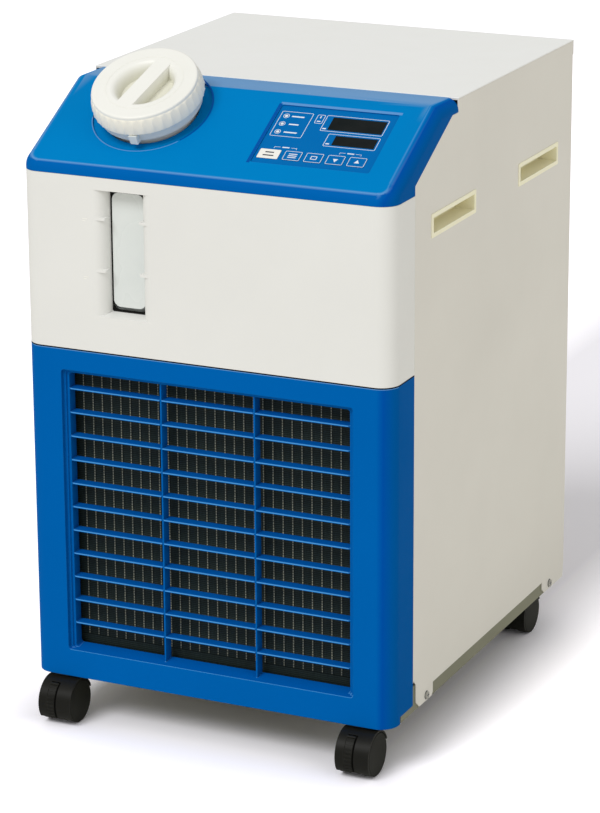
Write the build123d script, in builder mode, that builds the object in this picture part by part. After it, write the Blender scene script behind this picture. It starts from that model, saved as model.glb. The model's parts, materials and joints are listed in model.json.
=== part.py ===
from build123d import *
import math
import os

os.makedirs("parts", exist_ok=True)

# Recirculating chiller on four castors, in millimetres.
# X runs to the right, Y to the back and Z up. The floor is Z = 0, and the origin is
# the middle of the whole footprint, castors and rear fittings included.

# Casing
width = 377.0
depth = 454.0
height = 615.0
floor_gap = 46.0
sheet = 1.2
moulding = 3.0
corner_radius = 18.0
seam = 0.3

# Heights of the joints between the three front mouldings
grille_bottom_z = 47.0
split_low_z = 377.5
split_high_z = 545.3

# Front mouldings wrap round the corners as far as the side panels
wrap_depth = 51.2
panel_front = 51.5
lid_front = 152.0
lid_flange = 14.0

# Sloped control cowl
slope_angle = 28.75
slope_foot_z = 553.5
strip_drop = 0.5
cowl_roll = 12.0
panel_drop = 27.8
shoulder_level = 601.4

# Grille in the lower front panel
grille_half_width = 150.0
grille_low_z = 74.5
grille_high_z = 356.5
grille_step = 2.7
step_depth = 4.0
rib_front = 6.0
rib_depth = 10.0
rib_front_thick = 1.6
rib_back_thick = 2.4
slat_pitch = 23.55
slat_count = 11
column_count = 3

# Level window in the upper front panel
window_center_x = -82.7
window_half_width = 18.4
window_low_z = 415.0
window_high_z = 531.0
scoop_width = 12.0
scoop_depth = 12.9
scoop_margin = 2.4
level_high_z = 505.5
level_low_z = 456.0
level_rib = 2.4

# Reservoir, its neck and the screw cap, laid out on the slope
cap_x = -87.0
cap_up_slope = 86.0
neck_radius = 42.0
neck_wall = 3.5
neck_top = 29.0
collar_radius = 48.9
collar_low = 5.1
collar_high = 14.2
cowl_hole_radius = 45.5
cap_recess_radius = 58.0
cap_recess_depth = 2.0
cap_skirt_radius = 52.9
cap_top_radius = 50.6
cap_low = 14.6
cap_top = 33.8
cap_flutes = 36
cap_flute_radius = 5.2
cap_bore_clearance = 1.0
pocket_radius = 33.0
pocket_depth = 13.0
grip_bar = 17.0
grip_angle = 78.0
gasket_thick = 1.1
gasket_gap = 0.1

tank_left = -155.0
tank_right = 8.0
tank_front = 22.0
tank_back = 175.0
tank_low_z = 394.0
tank_high_z = 548.0
tank_wall = 3.0
tank_round = 14.0
bulge_front = 14.3
bulge_half_width = 16.6
bulge_low_z = 420.0
bulge_high_z = 529.0

# Display and keypad, laid out on the slope
pad_left = 36.5
pad_right = 154.0
pad_low = 30.0
pad_high = 110.5
pad_recess = 1.5
overlay_thick = 0.6
key_row = 43.7
key_height = 12.4
key_gap = 0.3
key_travel = 0.5
wide_key_x = 49.9
wide_key_width = 20.7
key_pitch = 21.2
second_key_x = 73.3
key_width = 17.0
board_drop = 9.0
board_thick = 1.6

# Grab cups in the side panels
cup_length = 107.0
cup_height = 22.5
cup_z = 508.3
cup_front_center = 142.5
cup_rear_center = 360.0
cup_depth = 26.0
cup_wall = 1.8
cup_lip = 2.2
cup_hook = 12.0

# Castors
wheel_radius = 21.0
wheel_width = 11.0
castor_half_width = 17.0
castor_x = 157.0
castor_trail = 20.0
front_stem = 23.0
rear_stem = 422.0
hood_inner = 21.5
hood_outer = 23.2
axle_radius = 2.0
stem_radius = 3.2
running = 0.05

# Rear fittings
port_reach = 20.2
port_bore_radius = 9.3
port_bore_length = 15.0

front_overhang = hood_outer + castor_trail - front_stem
front_y = front_overhang - (front_overhang + depth + port_reach) / 2
half = width / 2
slope = math.radians(slope_angle)


def y_at(from_front):
    """Y of a plane that lies this far behind the front face."""
    return front_y + from_front


def facing_front(from_front):
    """Sketch plane seen from the front: local X is right, local Y is up."""
    return Plane.XZ.offset(-y_at(from_front))


def on_slope(rise=0.0):
    """Sketch plane of the slope: origin at its foot, local Y runs up the slope."""
    foot = Vector(0, y_at(0), slope_foot_z)
    normal = Vector(0, -math.sin(slope), math.cos(slope))
    return Plane(origin=foot + normal * rise, x_dir=(1, 0, 0), z_dir=normal)


def save(piece, name):
    piece.part.label = name
    export_step(piece.part, f"parts/{name}.step")
    print(name, round(piece.part.volume / 1000, 1), "cm3")


# Base pan: a folded steel tray whose side flanges show as a strip under the side panels
pan_thick = 1.5
pan_top = floor_gap + pan_thick
pan_half = half - sheet - 0.1
pan_front_half = half - moulding - seam
pan_notch_front = 26.0
strip_low_height = 7.6
strip_high_height = 26.0
pan_back = depth - sheet

with BuildPart() as base_pan:
    with BuildSketch(Plane.XY.offset(floor_gap)):
        with BuildLine():
            Polyline(
                (-pan_front_half, y_at(moulding + seam)),
                (pan_front_half, y_at(moulding + seam)),
                (pan_front_half, y_at(pan_notch_front)),
                (pan_half, y_at(pan_notch_front)),
                (pan_half, y_at(pan_back)),
                (-pan_half, y_at(pan_back)),
                (-pan_half, y_at(pan_notch_front)),
                (-pan_front_half, y_at(pan_notch_front)),
                close=True,
            )
        make_face()
        front_corners = vertices().sort_by(Axis.Y)[:2]
        fillet(front_corners, corner_radius - moulding)
    extrude(amount=pan_thick)
    for side in (-1, 1):
        with BuildSketch(Plane.YZ.offset(side * (pan_half - pan_thick / 2))):
            with BuildLine():
                Polyline(
                    (y_at(pan_notch_front), floor_gap),
                    (y_at(pan_back), floor_gap),
                    (y_at(pan_back), floor_gap + strip_high_height),
                    (y_at(panel_front + 1), floor_gap + strip_high_height),
                    (y_at(panel_front + 1), floor_gap + strip_low_height),
                    (y_at(pan_notch_front), floor_gap + strip_low_height),
                    close=True,
                )
            make_face()
        extrude(amount=pan_thick / 2, both=True)
    with BuildSketch(Plane.XY.offset(floor_gap)):
        with Locations((0, y_at(pan_back - pan_thick / 2))):
            Rectangle(2 * pan_half, pan_thick)
    extrude(amount=strip_high_height)
save(base_pan, "base_pan")


# Castor plates: each a round plate under the pan with the pin that the hood turns on
plate_radius = 15.0
plate_thick = 1.4
castor_spots = {
    "front_left": (-castor_x, front_stem),
    "front_right": (castor_x, front_stem),
    "rear_left": (-castor_x, rear_stem),
    "rear_right": (castor_x, rear_stem),
}
stem_low = 18.0

with BuildPart() as castor_plates:
    for spot_x, spot_f in castor_spots.values():
        with BuildSketch(Plane.XY.offset(floor_gap)):
            with Locations((spot_x, y_at(spot_f))):
                Circle(plate_radius)
        extrude(amount=-plate_thick)
        with BuildSketch(Plane.XY.offset(floor_gap)):
            with Locations((spot_x, y_at(spot_f))):
                Circle(stem_radius)
        extrude(amount=stem_low - floor_gap)
save(castor_plates, "castor_plates")


def side_outline(front_edge, back_edge):
    """Closed outline of a side panel: sloped shoulder on top, two tabs at the foot."""
    shoulder = slope_foot_z - panel_drop
    slope_end = (shoulder_level - shoulder) / math.tan(slope)
    foot = floor_gap + strip_low_height + 6.4
    tab = floor_gap + 1.0
    points = [
        (front_edge, shoulder + front_edge * math.tan(slope)),
        (slope_end, shoulder_level),
        (lid_front, shoulder_level),
        (lid_front, height - sheet),
        (back_edge, height - sheet),
        (back_edge, foot + 2),
        (back_edge - 2, tab),
        (back_edge - 55, tab),
        (back_edge - 62, tab + 5.5),
        (back_edge - 62, foot),
        (front_edge + 48.5, foot),
        (front_edge + 48.5, tab + 3),
        (front_edge + 45.5, tab),
        (front_edge + 16, tab),
        (front_edge + 7.5, tab + 7),
        (front_edge + 7.5, tab + 25),
        (front_edge, tab + 33),
    ]
    return [(y_at(f), z) for f, z in points]


# Side panels: folded sheet with short returns, two windows for the grab cups
flange = 9.0
cup_centers = (cup_front_center, cup_rear_center)
cup_slot_length = cup_length - 2 * cup_lip + 0.4
cup_slot_height = cup_height - 2 * cup_lip + 0.4


def build_side_panel(side):
    with BuildPart() as panel:
        with BuildSketch(Plane.YZ.offset(side * (half - sheet / 2))):
            with BuildLine():
                Polyline(*side_outline(panel_front, depth - sheet), close=True)
            make_face()
            with Locations(*[(y_at(f), cup_z) for f in cup_centers]):
                Rectangle(cup_slot_length, cup_slot_height, mode=Mode.SUBTRACT)
        extrude(amount=sheet / 2, both=True)
        flange_x = side * (half - flange / 2)
        shoulder_z = slope_foot_z - panel_drop + panel_front * math.tan(slope)
        foot_z = floor_gap + strip_high_height + 4
        with BuildSketch(Plane.XY.offset(foot_z)):
            with Locations((flange_x, y_at(panel_front + sheet / 2))):
                Rectangle(flange, sheet)
        extrude(amount=shoulder_z - foot_z)
        with BuildSketch(Plane.XY.offset(foot_z)):
            with Locations((flange_x, y_at(depth - 1.5 * sheet))):
                Rectangle(flange, sheet)
        extrude(amount=height - sheet - foot_z)
        with BuildSketch(Plane.XY.offset(height - sheet)):
            with Locations((flange_x, y_at((lid_front + depth - sheet) / 2))):
                Rectangle(flange, depth - sheet - lid_front)
        extrude(amount=-sheet)
    return panel


left_side_panel = build_side_panel(-1)
save(left_side_panel, "left_side_panel")
right_side_panel = build_side_panel(1)
save(right_side_panel, "right_side_panel")


# Grab cups: moulded pockets with a lip outside and a hook space behind the top edge
def build_cup(side, center):
    with BuildPart() as cup:
        outside = side * half
        inner_half = cup_slot_height / 2 - 0.2
        with BuildSketch(Plane.YZ.offset(outside)):
            with Locations((y_at(center), cup_z)):
                RectangleRounded(cup_length, cup_height, 1.2)
        extrude(amount=side * 0.7)
        with BuildSketch(Plane.XZ.offset(-y_at(center))):
            with BuildLine():
                Polyline(
                    (outside, cup_z - inner_half),
                    (outside, cup_z + inner_half),
                    (outside - side * 7, cup_z + inner_half),
                    (outside - side * 11, cup_z + inner_half + cup_hook),
                    (outside - side * cup_depth, cup_z + inner_half + cup_hook),
                    (outside - side * cup_depth, cup_z - inner_half + 5),
                    (outside - side * (cup_depth - 6), cup_z - inner_half),
                    close=True,
                )
            make_face()
        extrude(amount=cup_length / 2 - cup_lip, both=True)
        with BuildSketch(Plane.XZ.offset(-y_at(center))):
            with BuildLine():
                Polyline(
                    (outside + side, cup_z - inner_half + cup_wall),
                    (outside + side, cup_z + inner_half - cup_wall),
                    (outside - side * (7 + cup_wall), cup_z + inner_half - cup_wall),
                    (
                        outside - side * (11 + cup_wall),
                        cup_z + inner_half + cup_hook - cup_wall,
                    ),
                    (
                        outside - side * (cup_depth - cup_wall),
                        cup_z + inner_half + cup_hook - cup_wall,
                    ),
                    (
                        outside - side * (cup_depth - cup_wall),
                        cup_z - inner_half + 5 + cup_wall,
                    ),
                    (
                        outside - side * (cup_depth - 6 - cup_wall / 2),
                        cup_z - inner_half + cup_wall,
                    ),
                    close=True,
                )
            make_face()
        extrude(
            amount=cup_length / 2 - cup_lip - cup_wall, both=True, mode=Mode.SUBTRACT
        )
    return cup


for place, center in (("front", cup_front_center), ("rear", cup_rear_center)):
    for hand, side in (("left", -1), ("right", 1)):
        grab_cup = build_cup(side, center)
        save(grab_cup, f"handle_cup_{place}_{hand}")


# Lid: flat sheet with a flange folded down over the rear panel
with BuildPart() as lid:
    with BuildSketch(Plane.XY.offset(height - sheet)):
        with Locations((0, y_at((lid_front + depth + sheet) / 2))):
            Rectangle(width, depth + sheet - lid_front)
    extrude(amount=sheet)
    with BuildSketch(Plane.XY.offset(height)):
        with Locations((0, y_at(depth + sheet / 2))):
            Rectangle(width, sheet)
    extrude(amount=-lid_flange - sheet)
    bend = lid.edges().filter_by(Axis.X).group_by(Axis.Z)[-1].sort_by(Axis.Y)[-1]
    fillet(bend, sheet * 0.9)
save(lid, "lid")


# Rear panel: sheet with two banks of air slots and cut-outs for the fittings
rear_half = half - sheet - 0.2
rear_low_z = floor_gap + pan_thick
rear_high_z = height - sheet - 0.2
slot_length = 118.0
slot_height = 7.0
slot_pitch = 13.0
slot_rows = 16
slot_low_z = 130.0
slot_bank_x = 66.0
outlet_spot = (-118.0, 545.0)
return_spot = (-118.0, 480.0)
drain_spot = (52.0, 92.0)
inlet_spot = (112.0, 540.0)
signal_spot = (112.0, 470.0)
port_hole_radius = 14.5
inlet_size = (50.0, 32.0)
signal_size = (64.0, 34.0)

with BuildPart() as rear_panel:
    with BuildSketch(facing_front(depth - sheet)):
        with Locations((0, (rear_low_z + rear_high_z) / 2)):
            Rectangle(2 * rear_half, rear_high_z - rear_low_z)
        bank_z = slot_low_z + slot_pitch * (slot_rows - 1) / 2
        for bank in (-1, 1):
            with Locations((bank * slot_bank_x, bank_z)):
                with GridLocations(1, slot_pitch, 1, slot_rows):
                    RectangleRounded(slot_length, slot_height, 2.5, mode=Mode.SUBTRACT)
        with Locations(outlet_spot, return_spot, drain_spot):
            Circle(port_hole_radius, mode=Mode.SUBTRACT)
        with Locations(inlet_spot):
            Rectangle(*inlet_size, mode=Mode.SUBTRACT)
        with Locations(signal_spot):
            Rectangle(*signal_size, mode=Mode.SUBTRACT)
    extrude(amount=-sheet)
save(rear_panel, "rear_panel")


def wrap_outline(inset, back):
    """Plan outline of the front mouldings: straight sides and two rounded front corners."""
    edge = half - inset
    with BuildSketch(mode=Mode.PRIVATE) as outline:
        with Locations((0, y_at((inset + back) / 2))):
            Rectangle(2 * edge, back - inset)
        fillet(outline.vertices().sort_by(Axis.Y)[:2], corner_radius - inset)
    return outline.sketch


def wrap_wall(low_z, high_z):
    """Three-sided wall of a front moulding, open at the back."""
    with BuildPart() as wall:
        with BuildSketch(Plane.XY.offset(low_z)):
            add(wrap_outline(0, wrap_depth))
            add(wrap_outline(moulding, wrap_depth + 1), mode=Mode.SUBTRACT)
        extrude(amount=high_z - low_z)
    return wall.part


# Front grille: stepped recess, eleven slats and two upright bars
ledge_rise = 3.3
first_slat_z = 100.9
opening_top_drop = 4.0
collar_margin = 3.0
recess_round = 3.0
grille_notch_front = 21.0
grille_notch_z = 54.0
step_plan = (
    (0.0, step_depth, 0.0),
    (step_depth, rib_front, grille_step),
    (rib_front, rib_front + rib_depth, 2 * grille_step),
)
grille_back = rib_front + rib_depth
grille_mid_z = (grille_low_z + grille_high_z) / 2
column_pitch = 2 * (grille_half_width - 2 * grille_step) / column_count
draft = 0.3

lower_wall = wrap_wall(grille_bottom_z, split_low_z - seam)

with BuildPart() as front_grille:
    add(lower_wall)
    for side in (-1, 1):
        with BuildSketch(Plane.XY.offset(grille_bottom_z)):
            with Locations((side * half, y_at((grille_notch_front + wrap_depth) / 2))):
                Rectangle(3 * moulding, wrap_depth - grille_notch_front + 0.01)
        extrude(amount=grille_notch_z - grille_bottom_z, mode=Mode.SUBTRACT)
    with BuildSketch(facing_front(moulding)):
        with Locations((0, grille_mid_z)):
            Rectangle(
                2 * (grille_half_width + collar_margin),
                grille_high_z - grille_low_z + 2 * collar_margin,
            )
    extrude(amount=-(grille_back - moulding))
    for start, end, inset in step_plan:
        rise = ledge_rise / grille_back
        top_cut = opening_top_drop * inset / (2 * grille_step)
        for depth_here, taper in ((start, 0.0), (end, draft)):
            low = grille_low_z + rise * depth_here + 0.1
            high = grille_high_z - top_cut - taper
            with BuildSketch(facing_front(depth_here)):
                with Locations((0, (low + high) / 2)):
                    RectangleRounded(
                        2 * (grille_half_width - inset - taper), high - low, recess_round
                    )
        loft(mode=Mode.SUBTRACT)
    for row in range(slat_count):
        slat_z = first_slat_z + row * slat_pitch
        with BuildSketch(Plane.YZ):
            with BuildLine():
                Polyline(
                    (y_at(rib_front), slat_z - rib_front_thick / 2),
                    (y_at(grille_back), slat_z - rib_back_thick / 2),
                    (y_at(grille_back), slat_z + rib_back_thick / 2),
                    (y_at(rib_front), slat_z + rib_front_thick / 2),
                    close=True,
                )
            make_face()
        extrude(amount=grille_half_width - grille_step, both=True)
    for side in (-1, 1):
        bar_x = side * column_pitch / 2
        with BuildSketch(Plane.XY.offset(grille_low_z - 1)):
            with BuildLine():
                Polyline(
                    (bar_x - rib_front_thick / 2, y_at(rib_front)),
                    (bar_x - rib_back_thick / 2, y_at(grille_back)),
                    (bar_x + rib_back_thick / 2, y_at(grille_back)),
                    (bar_x + rib_front_thick / 2, y_at(rib_front)),
                    close=True,
                )
            make_face()
        extrude(amount=grille_high_z - grille_low_z - 1)
save(front_grille, "front_grille")


# Upper front panel: plain moulding with a level window whose sides roll inwards
window_back = scoop_depth + moulding
pocket_half_width = window_half_width + scoop_width
roll_radius = 12.5
nub_reach = 1.0
nub_round = 1.6
level_rib_front = 1.0
opening_round = 2.0

with BuildPart() as window_pocket:
    with BuildSketch(Plane.XY.offset(window_low_z - scoop_margin)):
        with BuildLine():
            left = window_center_x - pocket_half_width
            right = window_center_x + pocket_half_width
            Polyline(
                (left + scoop_width, y_at(scoop_depth)),
                (right - scoop_width, y_at(scoop_depth)),
            )
            RadiusArc(
                (right - scoop_width, y_at(scoop_depth)), (right, y_at(0)), roll_radius
            )
            Polyline(
                (right, y_at(0)), (right, y_at(-1)), (left, y_at(-1)), (left, y_at(0))
            )
            RadiusArc(
                (left, y_at(0)), (left + scoop_width, y_at(scoop_depth)), roll_radius
            )
        make_face()
    extrude(amount=window_high_z - window_low_z + 2 * scoop_margin)
    with BuildSketch(Plane.YZ.offset(window_center_x)):
        with BuildLine():
            Polyline(
                (y_at(-1), window_low_z - scoop_margin),
                (y_at(scoop_depth), window_low_z),
                (y_at(scoop_depth), window_high_z),
                (y_at(-1), window_high_z + scoop_margin),
                close=True,
            )
        make_face()
    extrude(amount=pocket_half_width + 1, both=True, mode=Mode.INTERSECT)

upper_wall = wrap_wall(split_low_z + seam, split_high_z - seam)

with BuildPart() as upper_front_panel:
    add(upper_wall)
    with BuildSketch(facing_front(moulding)):
        with Locations((window_center_x, (window_low_z + window_high_z) / 2)):
            Rectangle(
                2 * (pocket_half_width + moulding),
                window_high_z - window_low_z + 2 * (scoop_margin + moulding),
            )
    extrude(amount=-(window_back - moulding))
    add(window_pocket.part, mode=Mode.SUBTRACT)
    with BuildSketch(facing_front(0)):
        with Locations((window_center_x, (window_low_z + window_high_z) / 2)):
            RectangleRounded(
                2 * window_half_width, window_high_z - window_low_z, opening_round
            )
    extrude(amount=-window_back - 1, mode=Mode.SUBTRACT)
    for level_z in (level_low_z, level_high_z):
        for side in (-1, 1):
            outer = window_center_x + side * (pocket_half_width + 0.5)
            inner = window_center_x + side * (window_half_width - nub_reach)
            with BuildSketch(Plane.XY.offset(level_z - level_rib / 2)):
                with BuildLine():
                    Polyline(
                        (outer, y_at(level_rib_front - 0.7)),
                        (inner, y_at(level_rib_front)),
                        (inner, y_at(level_rib_front + 2 * nub_round)),
                        (inner + side * nub_reach, y_at(scoop_depth)),
                        (inner + side * nub_reach, y_at(scoop_depth + 1)),
                        (outer, y_at(scoop_depth + 1)),
                        close=True,
                    )
                make_face()
                nub = vertices().sort_by_distance((inner, y_at(level_rib_front + nub_round)))
                fillet(nub[:2], nub_round * 0.95)
            extrude(amount=level_rib)
save(upper_front_panel, "upper_front_panel")


# Control cowl: sloped shell with rolled edges, a cap recess and a display recess
strip_top_z = height - strip_drop
cowl_back = lid_front - seam
cowl_side_low = slope_foot_z - panel_drop + seam + wrap_depth * math.tan(slope)
cowl_shoulder_z = shoulder_level + seam
cowl_shoulder_f = wrap_depth + (cowl_shoulder_z - cowl_side_low) / math.tan(slope)


def cowl_block(inset, reach):
    """Solid under the cowl's outer skin, or under its inner skin when inset."""
    inner_foot = slope_foot_z - inset / math.cos(slope)
    top = strip_top_z - inset
    with BuildPart() as block:
        with BuildSketch(Plane.YZ):
            with BuildLine():
                Polyline(
                    (y_at(inset), split_high_z - reach),
                    (y_at(inset), inner_foot + inset * math.tan(slope)),
                    (y_at((top - inner_foot) / math.tan(slope)), top),
                    (y_at(cowl_back + reach), top),
                    (y_at(cowl_back + reach), split_high_z - reach),
                    close=True,
                )
            make_face()
        extrude(amount=half - inset, both=True)
        with BuildSketch(Plane.XY.offset(split_high_z - reach)):
            add(wrap_outline(inset, cowl_back + reach + 1))
        extrude(amount=height, mode=Mode.INTERSECT)
        skin = block.faces().filter_by(lambda f: f.normal_at().Z > 0.5)
        rims = [
            e
            for e in skin.edges()
            if abs(abs(e.center().X) - (half - inset)) < 0.1 * corner_radius + 2
            or e.center().Y < y_at(inset + 0.4 * corner_radius)
        ]
        fillet(rims, cowl_roll - inset)
    return block


cowl_outer = cowl_block(0.0, 0.0)
cowl_inner = cowl_block(moulding, 20.0)
recess_floor = cowl_block(cap_recess_depth, 20.0)
cowl_liner = 1.4
liner_inner = cowl_block(moulding + cowl_liner, 20.0)
recess_reach = 25.0
hole_reach = 12.0
post_radius = 3.0
post_inset = 4.0
board_left = pad_left - 2.0
board_right = pad_right + 3.0
board_low = pad_low - 3.0
board_high = pad_high + 3.0
window_big = (118.8, 91.8, 53.6, 17.6)
window_small = (124.7, 69.5, 41.8, 13.0)
lamp_x = 46.0
lamp_rows = (74.5, 85.6, 96.5)
lamp_radius = 1.6
key_hole_margin = 0.3
key_places = [("key_run", wide_key_x, wide_key_width)]
for order, key_name in enumerate(("key_menu", "key_select", "key_down", "key_up")):
    key_places.append((key_name, second_key_x + order * key_pitch, key_width))
pad_center = ((pad_left + pad_right) / 2, (pad_low + pad_high) / 2)
post_spots = [
    (x, s)
    for x in (board_left + post_inset, board_right - post_inset)
    for s in (board_low + post_inset, board_high - post_inset)
]

with BuildPart() as recess_cut:
    with BuildSketch(on_slope(hole_reach)):
        with Locations((cap_x, cap_up_slope)):
            Circle(cap_recess_radius)
    extrude(amount=-recess_reach - hole_reach)
    add(recess_floor.part, mode=Mode.SUBTRACT)

with BuildPart() as recess_liner:
    with BuildSketch(on_slope(hole_reach)):
        with Locations((cap_x, cap_up_slope)):
            Circle(cap_recess_radius + cowl_liner)
    extrude(amount=-recess_reach - hole_reach)
    add(cowl_inner.part, mode=Mode.INTERSECT)
    add(liner_inner.part, mode=Mode.SUBTRACT)

with BuildPart() as control_cowl:
    add(cowl_outer.part)
    add(cowl_inner.part, mode=Mode.SUBTRACT)
    add(recess_liner.part)
    add(recess_cut.part, mode=Mode.SUBTRACT)
    with BuildSketch(Plane.YZ):
        with BuildLine():
            Polyline(
                (y_at(wrap_depth), split_high_z - 1),
                (y_at(wrap_depth), cowl_side_low),
                (y_at(cowl_shoulder_f), cowl_shoulder_z),
                (y_at(lid_front), cowl_shoulder_z),
                (y_at(lid_front), split_high_z - 1),
                close=True,
            )
        make_face()
    extrude(amount=half, both=True, mode=Mode.SUBTRACT)
    with BuildSketch(on_slope()):
        with Locations((cap_x, cap_up_slope)):
            Circle(cowl_hole_radius)
    extrude(amount=-hole_reach, mode=Mode.SUBTRACT)
    with BuildSketch(on_slope()):
        with Locations(pad_center):
            RectangleRounded(pad_right - pad_left, pad_high - pad_low, 2)
    extrude(amount=-pad_recess, mode=Mode.SUBTRACT)
    with BuildSketch(on_slope()):
        for _, key_x, key_w in key_places:
            with Locations((key_x, key_row)):
                RectangleRounded(key_w - 2, key_height - 2, 1)
        for x, s, w, h in (window_big, window_small):
            with Locations((x, s)):
                Rectangle(w, h)
        for s in lamp_rows:
            with Locations((lamp_x, s)):
                Circle(lamp_radius + key_hole_margin)
    extrude(amount=-moulding - 1, mode=Mode.SUBTRACT)
    with BuildSketch(on_slope(-moulding)):
        with Locations(*post_spots):
            Circle(post_radius)
    extrude(amount=-(board_drop - moulding))
save(control_cowl, "control_cowl")


# Display overlay: thin sheet in the recess, cut out for keys, windows and lamps
overlay_gap = 0.15
with BuildPart() as display_overlay:
    with BuildSketch(on_slope(-pad_recess)):
        with Locations(pad_center):
            RectangleRounded(
                pad_right - pad_left - 2 * overlay_gap,
                pad_high - pad_low - 2 * overlay_gap,
                2 - overlay_gap,
            )
        for _, key_x, key_w in key_places:
            with Locations((key_x, key_row)):
                RectangleRounded(
                    key_w + 2 * key_gap, key_height + 2 * key_gap, 1.3, mode=Mode.SUBTRACT
                )
        for x, s, w, h in (window_big, window_small):
            with Locations((x, s)):
                Rectangle(w, h, mode=Mode.SUBTRACT)
        for s in lamp_rows:
            with Locations((lamp_x, s)):
                Circle(lamp_radius + key_hole_margin, mode=Mode.SUBTRACT)
    extrude(amount=overlay_thick)
save(display_overlay, "display_overlay")


# Keys: cap in the overlay, stem through the cowl and a flange under it
key_proud = 0.3
key_stem_low = 5.0
key_flange_thick = 1.2
key_seat = 0.1
stem_shrink = 2.6

for key_name, key_x, key_w in key_places:
    with BuildPart() as key:
        with BuildSketch(on_slope(-pad_recess + overlay_thick + key_proud)):
            with Locations((key_x, key_row)):
                RectangleRounded(key_w - stem_shrink, key_height - stem_shrink, 1)
        extrude(amount=-(key_stem_low - pad_recess + overlay_thick + key_proud))
        with BuildSketch(on_slope(-pad_recess + overlay_thick + key_proud)):
            with Locations((key_x, key_row)):
                RectangleRounded(key_w, key_height, 1)
        extrude(amount=key_travel - overlay_thick - key_proud + 0.1)
        with BuildSketch(on_slope(-moulding - key_seat)):
            with Locations((key_x, key_row)):
                RectangleRounded(key_w, key_height, 1)
        extrude(amount=-key_flange_thick)
    save(key, key_name)


# Control board on its four posts, with a switch under each key
switch_top = 6.0
with BuildPart() as control_board:
    with BuildSketch(on_slope(-board_drop)):
        with Locations(((board_left + board_right) / 2, (board_low + board_high) / 2)):
            Rectangle(board_right - board_left, board_high - board_low)
    extrude(amount=-board_thick)
    with BuildSketch(on_slope(-board_drop)):
        for _, key_x, _ in key_places:
            with Locations((key_x, key_row)):
                Rectangle(6, 6)
    extrude(amount=board_drop - switch_top)
save(control_board, "control_board")


# Display windows: two lens blocks that stand on the board and fill the overlay's cut-outs
lens_gap = 0.15
with BuildPart() as display_windows:
    with BuildSketch(on_slope(-board_drop)):
        for x, s, w, h in (window_big, window_small):
            with Locations((x, s)):
                Rectangle(w - 2 * lens_gap, h - 2 * lens_gap)
    extrude(amount=board_drop - pad_recess + overlay_thick)
save(display_windows, "display_windows")

with BuildPart() as status_lamps:
    with BuildSketch(on_slope(-board_drop)):
        for s in lamp_rows:
            with Locations((lamp_x, s)):
                Circle(lamp_radius)
    extrude(amount=board_drop - pad_recess + overlay_thick)
save(status_lamps, "status_lamps")


# Reservoir: rounded box with a window bulge and a neck that comes out through the cowl
neck_root = 85.0
collar_lug = (6.5, -51.0)
stub_radius = 8.0
stub_bore = 6.0
supply_stub = (-10.0, 412.0)
return_stub = (-70.0, 520.0)
stub_reach = 14.0


def tank_form(inset):
    """Outer form of the reservoir, or its inner form when inset."""
    with BuildPart() as form:
        with BuildSketch(Plane.XY.offset(tank_low_z + inset)):
            with Locations(
                ((tank_left + tank_right) / 2, y_at((tank_front + tank_back) / 2))
            ):
                RectangleRounded(
                    tank_right - tank_left - 2 * inset,
                    tank_back - tank_front - 2 * inset,
                    tank_round - inset,
                )
        extrude(amount=tank_high_z - tank_low_z - 2 * inset)
        ends = form.faces().filter_by(Axis.Z).edges()
        fillet(ends, tank_round - inset - 1)
        with BuildSketch(facing_front(bulge_front + inset)):
            with Locations((window_center_x, (bulge_low_z + bulge_high_z) / 2)):
                RectangleRounded(
                    2 * (bulge_half_width - inset),
                    bulge_high_z - bulge_low_z - 2 * inset,
                    7 - inset,
                )
        extrude(amount=-(tank_front - bulge_front + tank_round))
    return form


tank_outer = tank_form(0.0)
tank_inner = tank_form(tank_wall)

with BuildPart() as tank:
    add(tank_outer.part)
    with BuildSketch(on_slope(-neck_root)):
        with Locations((cap_x, cap_up_slope)):
            Circle(neck_radius)
    extrude(amount=neck_root + neck_top)
    with BuildSketch(on_slope(collar_low)):
        with Locations((cap_x, cap_up_slope)):
            Circle(collar_radius)
        with Locations((cap_x + collar_lug[0], cap_up_slope + collar_lug[1])):
            Rectangle(8, 6)
    extrude(amount=collar_high - collar_low)
    for stub_x, stub_z in (supply_stub, return_stub):
        with BuildSketch(facing_front(tank_back - tank_wall)):
            with Locations((stub_x, stub_z)):
                Circle(stub_radius)
        extrude(amount=-tank_wall - stub_reach)
    add(tank_inner.part, mode=Mode.SUBTRACT)
    with BuildSketch(on_slope(neck_top)):
        with Locations((cap_x, cap_up_slope)):
            Circle(neck_radius - neck_wall)
    extrude(amount=-neck_root - neck_top, mode=Mode.SUBTRACT)
    for stub_x, stub_z in (supply_stub, return_stub):
        with BuildSketch(facing_front(tank_back - tank_wall - 1)):
            with Locations((stub_x, stub_z)):
                Circle(stub_bore)
        extrude(amount=-tank_wall - stub_reach - 2, mode=Mode.SUBTRACT)
save(tank, "tank")


# Seal ring that lies on the rim of the neck, and lifts off together with the cap
gasket_low = neck_top + gasket_gap
gasket_high = gasket_low + gasket_thick
with BuildPart() as cap_gasket:
    with BuildSketch(on_slope(gasket_low)):
        with Locations((cap_x, cap_up_slope)):
            Circle(neck_radius)
            Circle(neck_radius - neck_wall - 1, mode=Mode.SUBTRACT)
    extrude(amount=gasket_thick)
save(cap_gasket, "cap_gasket")


# Screw cap: fluted skirt, two grip pockets and a bar between them
cap_roof_low = gasket_high + 0.1
cap_edge_round = 2.0
bowl_wall = 2.0
bowl_floor = cap_top - pocket_depth
bar_length = 90.0
bar_hollow = 11.0
slope_normal = Vector(0, -math.sin(slope), math.cos(slope))
cap_foot = Vector(
    cap_x,
    y_at(cap_up_slope * math.cos(slope)),
    slope_foot_z + cap_up_slope * math.sin(slope),
)
cap_axis = Axis(cap_foot, slope_normal)
cap_section = Plane(
    origin=cap_foot, x_dir=(1, 0, 0), z_dir=(0, -math.cos(slope), -math.sin(slope))
)


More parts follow.
